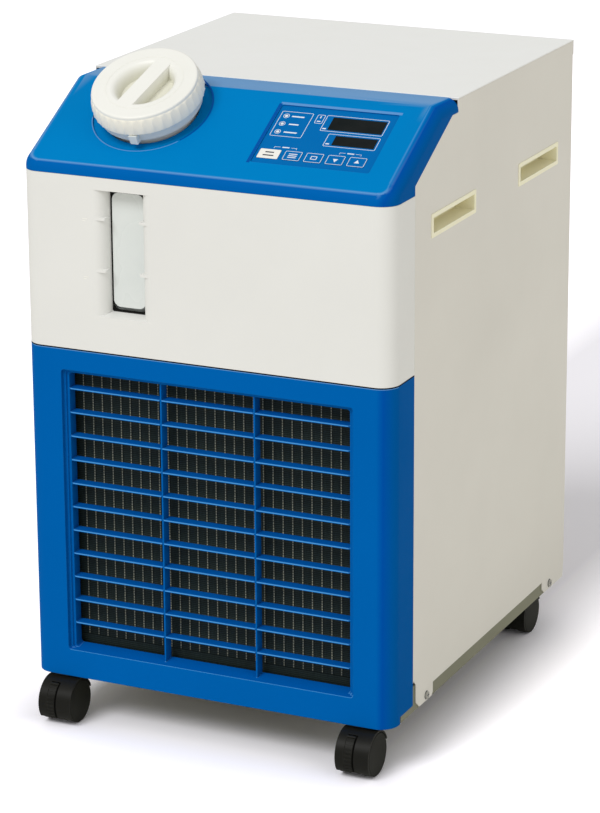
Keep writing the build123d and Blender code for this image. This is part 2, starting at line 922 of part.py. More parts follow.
def cap_bowl(grow, top):
    """Bowl that sinks from the cap's top towards its middle."""
    rim = [(0, bowl_floor - grow), (0, top), (pocket_radius + grow, top)]
    if top > cap_top:
        rim.append((pocket_radius + grow, cap_top))
    with BuildPart() as bowl:
        with BuildSketch(cap_section):
            with BuildLine():
                Spline(
                    (pocket_radius + grow, cap_top),
                    (pocket_radius - 3 + grow, cap_top - 1.4),
                    (pocket_radius - 6 + grow, cap_top - 6),
                    (pocket_radius - 8 + grow, bowl_floor - grow),
                )
                Polyline((pocket_radius - 8 + grow, bowl_floor - grow), *rim)
            make_face()
        revolve(axis=cap_axis)
    return bowl


bowl_body = cap_bowl(bowl_wall, cap_top)

with BuildPart() as pocket_pair:
    add(cap_bowl(0.0, cap_top + 1).part)
    with BuildSketch(on_slope(bowl_floor - 1)):
        with Locations(Location((cap_x, cap_up_slope, 0), (0, 0, grip_angle))):
            Rectangle(bar_length, grip_bar)
    extrude(amount=pocket_depth + 3, mode=Mode.SUBTRACT)

with BuildPart() as tank_cap:
    with BuildSketch(on_slope(cap_low)):
        with Locations((cap_x, cap_up_slope)):
            Circle(cap_skirt_radius)
    with BuildSketch(on_slope(cap_top)):
        with Locations((cap_x, cap_up_slope)):
            Circle(cap_top_radius)
    loft()
    fillet(tank_cap.edges().sort_by(cap_axis)[-1], cap_edge_round)
    with BuildSketch(on_slope(cap_low)):
        with Locations((cap_x, cap_up_slope)):
            Circle(neck_radius + cap_bore_clearance)
    extrude(amount=cap_roof_low - cap_low, mode=Mode.SUBTRACT)
    with BuildSketch(on_slope(cap_low - 1)):
        with Locations((cap_x, cap_up_slope)):
            with PolarLocations(cap_skirt_radius + 3.9, cap_flutes):
                Circle(cap_flute_radius)
    extrude(amount=cap_top - cap_low + 2, mode=Mode.SUBTRACT)
    add(bowl_body.part)
    add(pocket_pair.part, mode=Mode.SUBTRACT)
    with BuildSketch(on_slope(bowl_floor - bowl_wall - 1)):
        with Locations(Location((cap_x, cap_up_slope, 0), (0, 0, grip_angle))):
            Rectangle(2 * (pocket_radius - 8), bar_hollow)
    extrude(amount=pocket_depth - 1, mode=Mode.SUBTRACT)
save(tank_cap, "tank_cap")


# Condenser behind the grille: upright flat tubes between two round headers, with fins
core_front = 22.0
core_back = 42.0
core_low_z = 84.0
core_high_z = 340.0
tube_pitch = 9.89
tube_thick = 2.0
tube_count = 29
header_radius = 10.0
shroud_half = 150.0
shroud_thick = 1.5
seat_gap = 0.3
fin_inset = 0.5

core_mid_f = (core_front + core_back) / 2
header_half = shroud_half - shroud_thick - seat_gap
low_header_z = core_low_z - header_radius
high_header_z = core_high_z + header_radius
tube_xs = [(i - (tube_count - 1) / 2) * tube_pitch for i in range(tube_count)]

with BuildPart() as condenser_tubes:
    with BuildSketch(Plane.XY.offset(low_header_z)):
        for tube_x in tube_xs:
            with Locations((tube_x, y_at(core_mid_f))):
                Rectangle(tube_thick, core_back - core_front)
    extrude(amount=high_header_z - low_header_z)
    for header_z in (low_header_z, high_header_z):
        with BuildSketch(Plane.YZ):
            with Locations((y_at(core_mid_f), header_z)):
                Circle(header_radius)
        extrude(amount=header_half, both=True)
save(condenser_tubes, "condenser_tubes")

with BuildPart() as condenser_fins:
    with BuildSketch(Plane.XY.offset(core_low_z + seat_gap)):
        with Locations((0, y_at(core_mid_f))):
            Rectangle(2 * header_half, core_back - core_front - 2 * fin_inset)
        for tube_x in tube_xs:
            with Locations((tube_x, y_at(core_mid_f))):
                Rectangle(tube_thick, core_back - core_front, mode=Mode.SUBTRACT)
    extrude(amount=core_high_z - core_low_z - 2 * seat_gap)
save(condenser_fins, "condenser_fins")


# Fan: shroud plate with a ring, a spider that carries the motor, and a five-blade rotor
fan_x = 0.0
fan_z = 212.0
pipe_radius = 4.0
ring_inner = 112.0
ring_outer = 115.0
shroud_front = 44.3
shroud_lip = 16.3
shroud_top_z = 362.0
pipe_clearance = 0.3
ring_back = 86.0
motor_radius = 38.0
motor_front = 88.0
motor_back = 132.0
motor_shaft = 4.0
hub_radius = 34.0
hub_front = 58.0
hub_back = 82.0
blade_count = 5
blade_tilt = 28.0
blade_long = 74.0
blade_wide = 52.0
blade_thick = 2.5
blade_mid = 68.0

with BuildPart() as fan_shroud:
    with BuildSketch(facing_front(shroud_front)):
        with Locations((0, (pan_top + shroud_top_z) / 2)):
            Rectangle(2 * shroud_half, shroud_top_z - pan_top)
        with Locations((fan_x, fan_z)):
            Circle(ring_inner, mode=Mode.SUBTRACT)
    extrude(amount=-shroud_thick)
    with BuildSketch(facing_front(shroud_lip)):
        with Locations((0, (pan_top + shroud_top_z) / 2)):
            Rectangle(2 * shroud_half, shroud_top_z - pan_top)
            Rectangle(
                2 * (shroud_half - shroud_thick),
                shroud_top_z - pan_top - 2 * shroud_thick,
                mode=Mode.SUBTRACT,
            )
    extrude(amount=-(shroud_front - shroud_lip))
    with BuildSketch(Plane.YZ.offset(shroud_half)):
        for header_z in (low_header_z, high_header_z):
            with Locations((y_at(core_mid_f), header_z)):
                Circle(pipe_radius + pipe_clearance)
    extrude(amount=-shroud_thick, mode=Mode.SUBTRACT)
    with BuildSketch(facing_front(shroud_front)):
        with Locations((fan_x, fan_z)):
            Circle(ring_outer)
            Circle(ring_inner, mode=Mode.SUBTRACT)
    extrude(amount=-(ring_back - shroud_front))
    with BuildSketch(facing_front(ring_back - 3)):
        with Locations((fan_x, fan_z)):
            with PolarLocations(0, 2, 45, 180):
                Rectangle(2 * ring_outer - 2, 8)
            Circle(motor_radius - 4)
            Circle(motor_radius - 16, mode=Mode.SUBTRACT)
    extrude(amount=-(motor_front - ring_back + 3))
save(fan_shroud, "fan_shroud")

with BuildPart() as fan_motor:
    with BuildSketch(facing_front(motor_front)):
        with Locations((fan_x, fan_z)):
            Circle(motor_radius)
    extrude(amount=-(motor_back - motor_front))
    fillet(fan_motor.edges().sort_by(Axis.Y)[-1], 4)
    with BuildSketch(facing_front(hub_front + 6)):
        with Locations((fan_x, fan_z)):
            Circle(motor_shaft)
    extrude(amount=-(motor_front - hub_front - 6))
save(fan_motor, "fan_motor")

with BuildPart() as fan_rotor:
    with BuildSketch(facing_front(hub_front)):
        with Locations((fan_x, fan_z)):
            Circle(hub_radius)
    extrude(amount=-(hub_back - hub_front - 2))
    fillet(fan_rotor.edges().sort_by(Axis.Y)[0], 5)
    with BuildSketch(facing_front(hub_back)):
        with Locations((fan_x, fan_z)):
            Circle(hub_radius - 3)
    extrude(amount=hub_back - hub_front - 4, mode=Mode.SUBTRACT)
    with BuildSketch(facing_front(hub_front + 1)):
        with Locations((fan_x, fan_z)):
            Circle(motor_shaft + 5)
    extrude(amount=-(hub_back - hub_front - 3))
    for blade in range(blade_count):
        angle = math.radians(90 + blade * 360 / blade_count)
        outward = Vector(math.cos(angle), 0, math.sin(angle))
        sweepward = Vector(-math.sin(angle), 0, math.cos(angle))
        tilt = math.radians(blade_tilt)
        face = Vector(0, -1, 0) * math.cos(tilt) + sweepward * math.sin(tilt)
        center = Vector(fan_x, y_at((hub_front + hub_back) / 2 - 1), fan_z)
        with BuildSketch(Plane(origin=center, x_dir=outward, z_dir=face)):
            with Locations((blade_mid, 0)):
                RectangleRounded(blade_long, blade_wide * 0.72, 8)
        extrude(amount=blade_thick / 2, both=True)
    with BuildSketch(facing_front(hub_front + 6 - running)):
        with Locations((fan_x, fan_z)):
            Circle(motor_shaft + running)
    extrude(amount=-(hub_back - hub_front), mode=Mode.SUBTRACT)
save(fan_rotor, "fan_rotor")


# Shelf under the reservoir, on a partition that stands on the pan
shelf_thick = 1.5
shelf_right = 14.0
shelf_left = -178.0
shelf_ear_front = 56.0
shelf_mid_x = (shelf_left + shelf_right) / 2
partition_f = 181.0
with BuildPart() as tank_shelf:
    with BuildSketch(Plane.XY.offset(tank_low_z)):
        with Locations((shelf_mid_x, y_at((tank_front + partition_f) / 2))):
            Rectangle(shelf_right - shelf_left, partition_f - tank_front)
        with Locations(
            ((shelf_left - pan_half) / 2, y_at((shelf_ear_front + partition_f) / 2))
        ):
            Rectangle(pan_half + shelf_left, partition_f - shelf_ear_front)
    extrude(amount=-shelf_thick)
    with BuildSketch(facing_front(partition_f)):
        with Locations((shelf_mid_x, (pan_top + tank_low_z) / 2)):
            Rectangle(shelf_right - shelf_left, tank_low_z - pan_top)
    extrude(amount=-shelf_thick)
    with BuildSketch(Plane.YZ.offset(-pan_half)):
        with Locations((y_at((shelf_ear_front + partition_f) / 2), tank_low_z + 5)):
            Rectangle(partition_f - shelf_ear_front, 10 + 2 * shelf_thick)
    extrude(amount=shelf_thick)
save(tank_shelf, "tank_shelf")


# Compressor on three feet, with its suction accumulator
comp_x = -112.0
comp_f = 300.0
comp_radius = 56.0
comp_low_z = 62.0
comp_high_z = 232.0
foot_radius = 12.0
foot_reach = 66.0
foot_start = 30.0
accumulator_radius = 22.0
accumulator_f = 388.0
accumulator_x = -112.0

with BuildPart() as compressor:
    with BuildSketch(Plane.XY.offset(comp_low_z)):
        with Locations((comp_x, y_at(comp_f))):
            Circle(comp_radius)
    extrude(amount=comp_high_z - comp_low_z)
    fillet(compressor.edges().sort_by(Axis.Z)[-1], 24)
    with BuildSketch(Plane.XY.offset(comp_low_z)):
        with Locations((comp_x, y_at(comp_f))):
            Circle(comp_radius + 5)
            with PolarLocations(foot_reach, 3, foot_start):
                Circle(foot_radius)
    extrude(amount=4)
    with BuildSketch(Plane.XY.offset(pan_top)):
        with Locations((comp_x, y_at(comp_f))):
            with PolarLocations(foot_reach, 3, foot_start):
                Circle(foot_radius - 2)
    extrude(amount=comp_low_z - pan_top)
    with BuildSketch(Plane.XY.offset(comp_low_z + 34)):
        with Locations((accumulator_x, y_at(accumulator_f))):
            Circle(accumulator_radius)
    extrude(amount=110)
    with BuildSketch(Plane.XY.offset(comp_low_z + 80)):
        with Locations((comp_x, y_at((comp_f + accumulator_f) / 2))):
            Rectangle(14, accumulator_f - comp_f)
    extrude(amount=16)
save(compressor, "compressor")


# Circulation pump: wet end in front, motor behind, on a foot
pump_x = -10.0
pump_f = 300.0
pump_z = 110.0
pump_motor_radius = 36.0
pump_head_radius = 42.0
with BuildPart() as pump:
    with BuildSketch(facing_front(pump_f)):
        with Locations((pump_x, pump_z)):
            Circle(pump_motor_radius)
    extrude(amount=-92)
    fillet(pump.edges().sort_by(Axis.Y)[-1], 5)
    with BuildSketch(facing_front(pump_f - 34)):
        with Locations((pump_x, pump_z)):
            Circle(pump_head_radius)
    extrude(amount=-34)
    fillet(pump.edges().sort_by(Axis.Y)[0], 5)
    with BuildSketch(facing_front(pump_f - 48)):
        with Locations((pump_x, pump_z)):
            Circle(10)
    extrude(amount=-20)
    with BuildSketch(Plane.YZ.offset(pump_x)):
        with Locations((y_at(pump_f - 16), pump_z)):
            Circle(10)
    extrude(amount=pump_head_radius + 12)
    with BuildSketch(Plane.XY.offset(pan_top)):
        with Locations((pump_x, y_at(pump_f + 40))):
            RectangleRounded(66, 84, 4)
    extrude(amount=5)
    with BuildSketch(Plane.XY.offset(pan_top)):
        with Locations((pump_x, y_at(pump_f + 40))):
            Rectangle(30, 60)
    extrude(amount=pump_z - pan_top - pump_motor_radius + 8)
save(pump, "pump")


# Plate heat exchanger with four stubs on its front
plate_x = 112.0
plate_f = 300.0
plate_low_z = 84.0
plate_high_z = 292.0
plate_width = 76.0
plate_pack = 48.0
stub_side = 24.0
exchanger_stub = 8.0
with BuildPart() as heat_exchanger:
    with BuildSketch(Plane.XY.offset(plate_low_z)):
        with Locations((plate_x, y_at(plate_f + plate_pack / 2))):
            RectangleRounded(plate_width, plate_pack, 8)
    extrude(amount=plate_high_z - plate_low_z)
    with BuildSketch(facing_front(plate_f)):
        for side in (-1, 1):
            for stub_z in (plate_low_z + 26, plate_high_z - 26):
                with Locations((plate_x + side * stub_side, stub_z)):
                    Circle(exchanger_stub)
    extrude(amount=18)
    with BuildSketch(Plane.XY.offset(pan_top)):
        with Locations((plate_x, y_at(plate_f + plate_pack / 2))):
            Rectangle(plate_width + 16, plate_pack - 8)
    extrude(amount=3)
    with BuildSketch(Plane.XY.offset(pan_top)):
        with Locations((plate_x, y_at(plate_f + plate_pack / 2))):
            Rectangle(plate_width - 24, plate_pack - 16)
    extrude(amount=plate_low_z - pan_top)
save(heat_exchanger, "heat_exchanger")


# Control box: closed sheet box hung on the right side panel
box_left = 34.0
box_right = half - sheet - 0.1
box_front = 196.0
box_back = 424.0
box_low_z = 378.0
box_high_z = 488.0
with BuildPart() as control_box:
    with BuildSketch(Plane.XY.offset(box_low_z)):
        with Locations(((box_left + box_right) / 2, y_at((box_front + box_back) / 2))):
            Rectangle(box_right - box_left, box_back - box_front)
    extrude(amount=box_high_z - box_low_z)
    offset(amount=-1.5, openings=control_box.faces().sort_by(Axis.X)[0])
    with BuildSketch(Plane.YZ.offset(box_left)):
        with Locations((y_at((box_front + box_back) / 2), (box_low_z + box_high_z) / 2)):
            Rectangle(box_back - box_front + 8, box_high_z - box_low_z + 8)
    extrude(amount=-1.5)
save(control_box, "control_box")


# Rear fittings: two threaded water ports, the drain with its plug, inlet and signal sockets
port_flange = 19.0
port_body = 13.5
port_lock = 17.5
port_front = 22.0


def build_port(spot, reach):
    with BuildPart() as port:
        with BuildSketch(facing_front(depth)):
            with Locations(spot):
                RegularPolygon(port_flange, 6)
        extrude(amount=-5)
        with BuildSketch(facing_front(depth - sheet - port_front)):
            with Locations(spot):
                Circle(port_body)
        extrude(amount=-(sheet + port_front + reach))
        with BuildSketch(facing_front(depth - sheet - 4)):
            with Locations(spot):
                Circle(port_lock)
        extrude(amount=-4)
        with BuildSketch(facing_front(depth + reach)):
            with Locations(spot):
                Circle(port_bore_radius)
        extrude(amount=port_bore_length, mode=Mode.SUBTRACT)
        with BuildSketch(facing_front(depth + reach)):
            with Locations(spot):
                Circle(port_bore_radius - 2)
        extrude(amount=reach + sheet + port_front, mode=Mode.SUBTRACT)
        mouth = port.edges().filter_by(GeomType.CIRCLE).sort_by(Axis.Y)[-2:]
        chamfer(mouth.sort_by(SortBy.RADIUS)[0], 1.0)
    return port


outlet_port = build_port(outlet_spot, port_reach)
save(outlet_port, "outlet_port")
return_port = build_port(return_spot, port_reach)
save(return_port, "return_port")
drain_port = build_port(drain_spot, port_reach - 4.2)
save(drain_port, "drain_port")

plug_reach = 4.0
with BuildPart() as drain_plug:
    with BuildSketch(facing_front(depth + port_reach - 4.2)):
        with Locations(drain_spot):
            RegularPolygon(12.5, 6)
    extrude(amount=-plug_reach)
    with BuildSketch(facing_front(depth + port_reach - 4.2)):
        with Locations(drain_spot):
            Circle(port_bore_radius - running)
    extrude(amount=port_bore_length - 3)
save(drain_plug, "drain_plug")

pin_spots = [(-7, 3), (7, 3), (0, -5)]
with BuildPart() as power_inlet:
    with BuildSketch(facing_front(depth)):
        with Locations(inlet_spot):
            RectangleRounded(inlet_size[0] + 14, inlet_size[1] + 8, 3)
    extrude(amount=-2.5)
    with BuildSketch(facing_front(depth)):
        with Locations(inlet_spot):
            Rectangle(inlet_size[0] - 0.6, inlet_size[1] - 0.6)
    extrude(amount=22)
    with BuildSketch(facing_front(depth + 2.5)):
        with Locations(inlet_spot):
            RectangleRounded(27, 19, 3)
    extrude(amount=18, mode=Mode.SUBTRACT)
    with BuildSketch(facing_front(depth + 2.5)):
        for pin_x, pin_z in pin_spots:
            with Locations((inlet_spot[0] + pin_x, inlet_spot[1] + pin_z)):
                Rectangle(2, 4)
    extrude(amount=19)
save(power_inlet, "power_inlet")

signal_row = 8.5
signal_slot_length = 56.0
signal_slot_height = 9.0
signal_slot_depth = 7.0
with BuildPart() as signal_connectors:
    with BuildSketch(facing_front(depth)):
        with Locations(signal_spot):
            Rectangle(signal_size[0] + 10, signal_size[1] + 10)
    extrude(amount=-1.5)
    with BuildSketch(facing_front(depth)):
        with Locations(signal_spot):
            Rectangle(signal_size[0] - 0.6, signal_size[1] - 0.6)
    extrude(amount=14)
    with BuildSketch(facing_front(depth + 1.5)):
        for row in (-1, 1):
            with Locations((signal_spot[0], signal_spot[1] + row * signal_row)):
                Rectangle(signal_slot_length, signal_slot_height)
    extrude(amount=signal_slot_depth, mode=Mode.SUBTRACT)
save(signal_connectors, "signal_connectors")


# Pipes and hoses: runs of straight lengths and bends between the stubs
hose_radius = 8.0
hose_bend = 12.0
pipe_bend = 10.0
port_inner_f = depth - sheet - port_front
tank_stub_f = tank_back + stub_reach
exchanger_stub_f = plate_f - 18
low_stub_z = plate_low_z + 26
high_stub_z = plate_high_z - 26
water_x = plate_x - stub_side
gas_x = plate_x + stub_side
pump_out_x = pump_x + pump_head_radius + 12
riser_x = shroud_half + 14


def pipe_run(points, radius, bend):
    """Round pipe along points given as x, distance from the front, and height."""
    with BuildPart() as run:
        with BuildLine():
            route = FilletPolyline(*[(x, y_at(f), z) for x, f, z in points], radius=bend)
        with BuildSketch(Plane(origin=route @ 0, z_dir=route % 0)):
            Circle(radius)
        sweep()
    return run.part


supply_hose = pipe_run(
    [(pump_x, tank_stub_f, 412), (pump_x, 211, 412), (pump_x, 211, pump_z),
     (pump_x, pump_f - 68, pump_z)],
    hose_radius, hose_bend,
)
drain_hose = pipe_run(
    [(drain_spot[0], port_inner_f, drain_spot[1]), (drain_spot[0], 211, drain_spot[1]),
     (drain_spot[0], 211, 150), (pump_x, 211, 150)],
    hose_radius - 2, hose_bend,
)
feed_hose = pipe_run(
    [(pump_out_x, pump_f - 16, pump_z), (pump_out_x + 18, pump_f - 16, pump_z),
     (pump_out_x + 18, 258, pump_z), (water_x, 258, pump_z),
     (water_x, exchanger_stub_f, pump_z)],
    hose_radius, 8.2,
)
outlet_hose = pipe_run(
    [(water_x, exchanger_stub_f, high_stub_z), (water_x, 256, high_stub_z),
     (water_x, 256, 340), (outlet_spot[0], 256, 340),
     (outlet_spot[0], 256, outlet_spot[1]), (outlet_spot[0], port_inner_f, outlet_spot[1])],
    hose_radius, hose_bend,
)
return_hose = pipe_run(
    [(return_spot[0], port_inner_f, return_spot[1]), (return_spot[0], 330, return_spot[1]),
     (return_stub[0], 330, return_spot[1]), (return_stub[0], 330, return_stub[1]),
     (return_stub[0], tank_stub_f, return_stub[1])],
    hose_radius, hose_bend,
)
with BuildPart() as water_hoses:
    add([supply_hose, drain_hose, feed_hose, outlet_hose, return_hose])
save(water_hoses, "water_hoses")

discharge = pipe_run(
    [(comp_x + 12, comp_f, comp_high_z), (comp_x + 12, comp_f, 262), (30, comp_f, 262),
     (30, 160, 262), (30, 160, high_header_z), (riser_x, 160, high_header_z),
     (riser_x, core_mid_f, high_header_z), (header_half, core_mid_f, high_header_z)],
    pipe_radius, pipe_bend,
)
liquid = pipe_run(
    [(header_half, core_mid_f, low_header_z), (riser_x, core_mid_f, low_header_z),
     (riser_x, 250, low_header_z), (riser_x, 250, low_stub_z),
     (gas_x, 250, low_stub_z), (gas_x, exchanger_stub_f, low_stub_z)],
    pipe_radius, pipe_bend,
)
suction = pipe_run(
    [(accumulator_x, accumulator_f, comp_low_z + 144), (accumulator_x, accumulator_f, 312),
     (gas_x, accumulator_f, 312), (gas_x, 240, 312), (gas_x, 240, high_stub_z),
     (gas_x, exchanger_stub_f, high_stub_z)],
    pipe_radius + 1, pipe_bend,
)
with BuildPart() as refrigerant_pipes:
    add([discharge, liquid, suction])
save(refrigerant_pipes, "refrigerant_pipes")


# Screws: heads on the side panels' tabs and round the rear panel
screw_radius = 3.6
screw_high = 1.8
side_screws = [(84.0, 52.6), (411.5, 53.0)]
rear_screws = [(x, z) for x in (-178.0, 178.0) for z in (62.0, 330.0, 590.0)]
with BuildPart() as panel_screws:
    for side in (-1, 1):
        with BuildSketch(Plane.YZ.offset(side * half)):
            for screw_f, screw_z in side_screws:
                with Locations((y_at(screw_f), screw_z)):
                    Circle(screw_radius)
        extrude(amount=side * screw_high)
    with BuildSketch(facing_front(depth)):
        with Locations(*rear_screws):
            Circle(screw_radius)
    extrude(amount=-screw_high)
save(panel_screws, "panel_screws")


# Castors: a hood over two wheels, turning on a pin behind the axle
web_half = 5.7
web_radius = 20.0
web_clear = 5.0
web_top = 42.0
boss_radius = 5.7
boss_top = 44.3
boss_low = 17.0
hood_low_angle = -36.0
hood_rear_angle = 158.0
wheel_inner = 6.0
wheel_outer = 17.0
groove_outer = 16.0
groove_inner = 14.0
groove_deep = 1.2
hub_disc = 6.0
axle_reach = 14.0
lever_left = -8.3
lever_right = 0.3
lever_low_angle = -30.0
lever_top_angle = 52.0
lever_floor = 21.4
lever_skin = hood_outer
barrel_radius = 1.5
pin_radius = 0.9
pin_angle = 56.0
pin_reach = 22.9
slot_margin = 4.0
pin_margin = 7.0
lever_gap = 0.4


def polar(radius, degrees):
    """Point round an axle, measured up from straight ahead, as offsets from the axle."""
    angle = math.radians(degrees)
    return (-radius * math.cos(angle), radius * math.sin(angle))


def shell_sector(axle_y, inner, outer, low, high):
    """Sector of a ring round the axle, as a closed sketch in the YZ plane."""
    axle = Vector(axle_y, wheel_radius)
    angles = (low, (low + high) / 2, high)
    outer_points = [axle + Vector(*polar(outer, a)) for a in angles]
    inner_points = [axle + Vector(*polar(inner, a)) for a in reversed(angles)]
    with BuildSketch(mode=Mode.PRIVATE) as sector:
        with BuildLine():
            ThreePointArc(*outer_points)
            Line(outer_points[2], inner_points[0])
            ThreePointArc(*inner_points)
            Line(inner_points[2], outer_points[0])
        make_face()
    return sector.sketch


def build_hood(spot_x, spot_f, braked):
    axle_y = y_at(spot_f - castor_trail)
    stem_y = y_at(spot_f)
    pin_y = axle_y + polar(pin_reach, pin_angle)[0]
    pin_z = wheel_radius + polar(pin_reach, pin_angle)[1]
    with BuildPart() as hood:
        with BuildSketch(Plane.YZ.offset(spot_x)):
            with Locations((axle_y, wheel_radius)):
                Circle(web_radius)
            with Locations(((axle_y + stem_y) / 2, (wheel_radius + web_top) / 2)):
                Rectangle(castor_trail, web_top - wheel_radius)
            with Locations((axle_y, 0)):
                Rectangle(4 * web_radius, 2 * web_clear, mode=Mode.SUBTRACT)
        extrude(amount=web_half, both=True)
        with BuildSketch(Plane.YZ.offset(spot_x)):
            add(shell_sector(axle_y, hood_inner, hood_outer, hood_low_angle, hood_rear_angle))
        extrude(amount=castor_half_width, both=True)
        with BuildSketch(Plane.YZ.offset(spot_x)):
            add(shell_sector(axle_y, web_radius - 2, hood_inner + 0.5, 70.0, hood_rear_angle))
        extrude(amount=web_half, both=True)
        with BuildSketch(Plane.XY.offset(boss_low)):
            with Locations((spot_x, stem_y)):
                Circle(boss_radius)
        extrude(amount=boss_top - boss_low)
        if braked:
            slot_low = hood_low_angle + slot_margin
            slot_high = pin_angle + pin_margin
            slot_floor = lever_floor - lever_gap
            with BuildSketch(Plane.YZ.offset(spot_x + lever_left)):
                add(shell_sector(axle_y, slot_floor, hood_outer + 2, slot_low, slot_high))
            extrude(amount=lever_right - lever_left, mode=Mode.SUBTRACT)
            with BuildSketch(Plane.YZ.offset(spot_x + lever_left - 0.5)):
                with Locations((pin_y, pin_z)):
                    Circle(pin_radius)
            extrude(amount=lever_right - lever_left + 1)
        with BuildSketch(Plane.YZ.offset(spot_x)):
            with Locations((axle_y, wheel_radius)):
                Circle(axle_radius)
        extrude(amount=axle_reach, both=True)
        with BuildSketch(Plane.XY.offset(boss_top)):
            with Locations((spot_x, stem_y)):
                Circle(stem_radius + running)
        extrude(amount=stem_low - 0.3 - boss_top, mode=Mode.SUBTRACT)
    return hood


def build_wheel(spot_x, spot_f, side):
    axle_y = y_at(spot_f - castor_trail)
    with BuildPart() as wheel:
        with BuildSketch(Plane.YZ.offset(spot_x + side * wheel_inner)):
            with Locations((axle_y, wheel_radius)):
                Circle(wheel_radius)
        extrude(amount=side * wheel_width)
        fillet(wheel.edges().filter_by(GeomType.CIRCLE), 1.2)
        with BuildSketch(Plane.YZ.offset(spot_x + side * wheel_outer)):
            with Locations((axle_y, wheel_radius)):
                Circle(groove_outer)
                Circle(groove_inner, mode=Mode.SUBTRACT)
                Circle(hub_disc)
                Circle(hub_disc - 1, mode=Mode.SUBTRACT)
        extrude(amount=-side * groove_deep, mode=Mode.SUBTRACT)
        with BuildSketch(Plane.YZ.offset(spot_x + side * wheel_inner)):
            with Locations((axle_y, wheel_radius)):
                Circle(axle_radius + running)
        extrude(amount=side * (axle_reach + 0.3 - wheel_inner), mode=Mode.SUBTRACT)
    return wheel


def build_lever(spot_x, spot_f):
    axle_y = y_at(spot_f - castor_trail)
    pin_y = axle_y + polar(pin_reach, pin_angle)[0]
    pin_z = wheel_radius + polar(pin_reach, pin_angle)[1]
    with BuildPart() as lever:
        with BuildSketch(Plane.YZ.offset(spot_x + lever_left + 0.3)):
            add(shell_sector(axle_y, lever_floor, lever_skin, lever_low_angle, lever_top_angle))
            with Locations((pin_y, pin_z)):
                Circle(barrel_radius)
        extrude(amount=lever_right - lever_left - 0.6)
        with BuildSketch(Plane.YZ.offset(spot_x + lever_left + 0.3)):
            with Locations((pin_y, pin_z)):
                Circle(pin_radius + running)
        extrude(amount=lever_right - lever_left, mode=Mode.SUBTRACT)
    return lever


for spot_name, (spot_x, spot_f) in castor_spots.items():
    braked = spot_name.startswith("front")
    castor_hood = build_hood(spot_x, spot_f, braked)
    save(castor_hood, f"castor_hood_{spot_name}")
    for wheel_name, side in (("a", -1), ("b", 1)):
        castor_wheel = build_wheel(spot_x, spot_f, side)
        save(castor_wheel, f"castor_wheel_{spot_name}_{wheel_name}")
    if braked:
        brake_lever = build_lever(spot_x, spot_f)
        save(brake_lever, f"brake_lever_{spot_name}")
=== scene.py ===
import json
import math

import bmesh
import bpy
from mathutils import Matrix, Vector


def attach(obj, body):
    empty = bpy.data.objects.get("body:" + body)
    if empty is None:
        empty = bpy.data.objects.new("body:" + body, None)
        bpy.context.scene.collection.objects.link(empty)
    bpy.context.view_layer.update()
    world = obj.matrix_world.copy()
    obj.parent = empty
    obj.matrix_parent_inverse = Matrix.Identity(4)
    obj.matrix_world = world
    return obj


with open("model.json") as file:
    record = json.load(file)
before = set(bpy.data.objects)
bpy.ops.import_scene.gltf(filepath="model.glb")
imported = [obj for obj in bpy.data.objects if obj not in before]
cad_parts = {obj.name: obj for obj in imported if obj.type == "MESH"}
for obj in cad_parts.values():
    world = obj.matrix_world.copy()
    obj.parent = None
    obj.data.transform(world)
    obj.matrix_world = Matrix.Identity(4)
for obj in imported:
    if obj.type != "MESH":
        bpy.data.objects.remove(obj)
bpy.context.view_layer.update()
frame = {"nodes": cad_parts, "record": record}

nodes = frame["nodes"]
mm = 0.001
print("frame loaded:", len(nodes), "nodes")

# Sizes shared by several pieces, in millimetres and degrees
casing = {
    "front": -227.0,       # Y of the front face
    "halfWidth": 188.5,
    "slopeAngle": 28.75,   # control slope against the floor
    "slopeFoot": 553.5,    # height where the slope starts
    "overlayTop": -0.9,    # skin of the display overlay, from the slope
    "keyTop": -0.6,        # skin of the keys, from the slope
}


# A place on the slope: local X right, Y up the slope, Z outwards, in millimetres
def slopePlace(rise=0.0):
    angle = math.radians(casing["slopeAngle"])
    upSlope = Vector((0, math.cos(angle), math.sin(angle)))
    outward = Vector((0, -math.sin(angle), math.cos(angle)))
    place = Matrix((Vector((1, 0, 0)), upSlope, outward)).transposed().to_4x4()
    place.translation = (Vector((0, casing["front"], casing["slopeFoot"])) + outward * rise) * mm
    return place @ Matrix.Diagonal((mm, mm, mm, 1))


# A place on an upright face: local X right, Y up, Z towards the viewer
def frontPlace(fromFront=0.0):
    place = Matrix(((1, 0, 0, 0), (0, 0, -1, 0), (0, 1, 0, 0), (0, 0, 0, 1)))
    place.translation = Vector((0, casing["front"] + fromFront, 0)) * mm
    return place @ Matrix.Diagonal((mm, mm, mm, 1))


# Colours as a paint chart gives them, 0 to 255, turned into Blender's linear values
def paint(red, green, blue):
    def linear(part):
        part = part / 255
        return part / 12.92 if part <= 0.04045 else ((part + 0.055) / 1.055) ** 2.4
    return (linear(red), linear(green), linear(blue), 1.0)


# A link where the value comes from another node, otherwise a plain setting
def feed(tree, socket, value):
    if isinstance(value, bpy.types.NodeSocket):
        tree.links.new(value, socket)
    else:
        socket.default_value = value


def addNode(tree, kind, settings=None, **sockets):
    node = tree.nodes.new(kind)
    for name, value in (settings or {}).items():
        setattr(node, name, value)
    for name, value in sockets.items():
        feed(tree, node.inputs[name.replace("_", " ")], value)
    return node


def addMath(tree, operation, first, second=0.0):
    node = addNode(tree, "ShaderNodeMath", {"operation": operation})
    feed(tree, node.inputs[0], first)
    feed(tree, node.inputs[1], second)
    return node.outputs[0]


def addVectorMath(tree, operation, first, second, result):
    node = addNode(tree, "ShaderNodeVectorMath", {"operation": operation})
    feed(tree, node.inputs[0], first)
    feed(tree, node.inputs[1], second)
    return node.outputs[result]


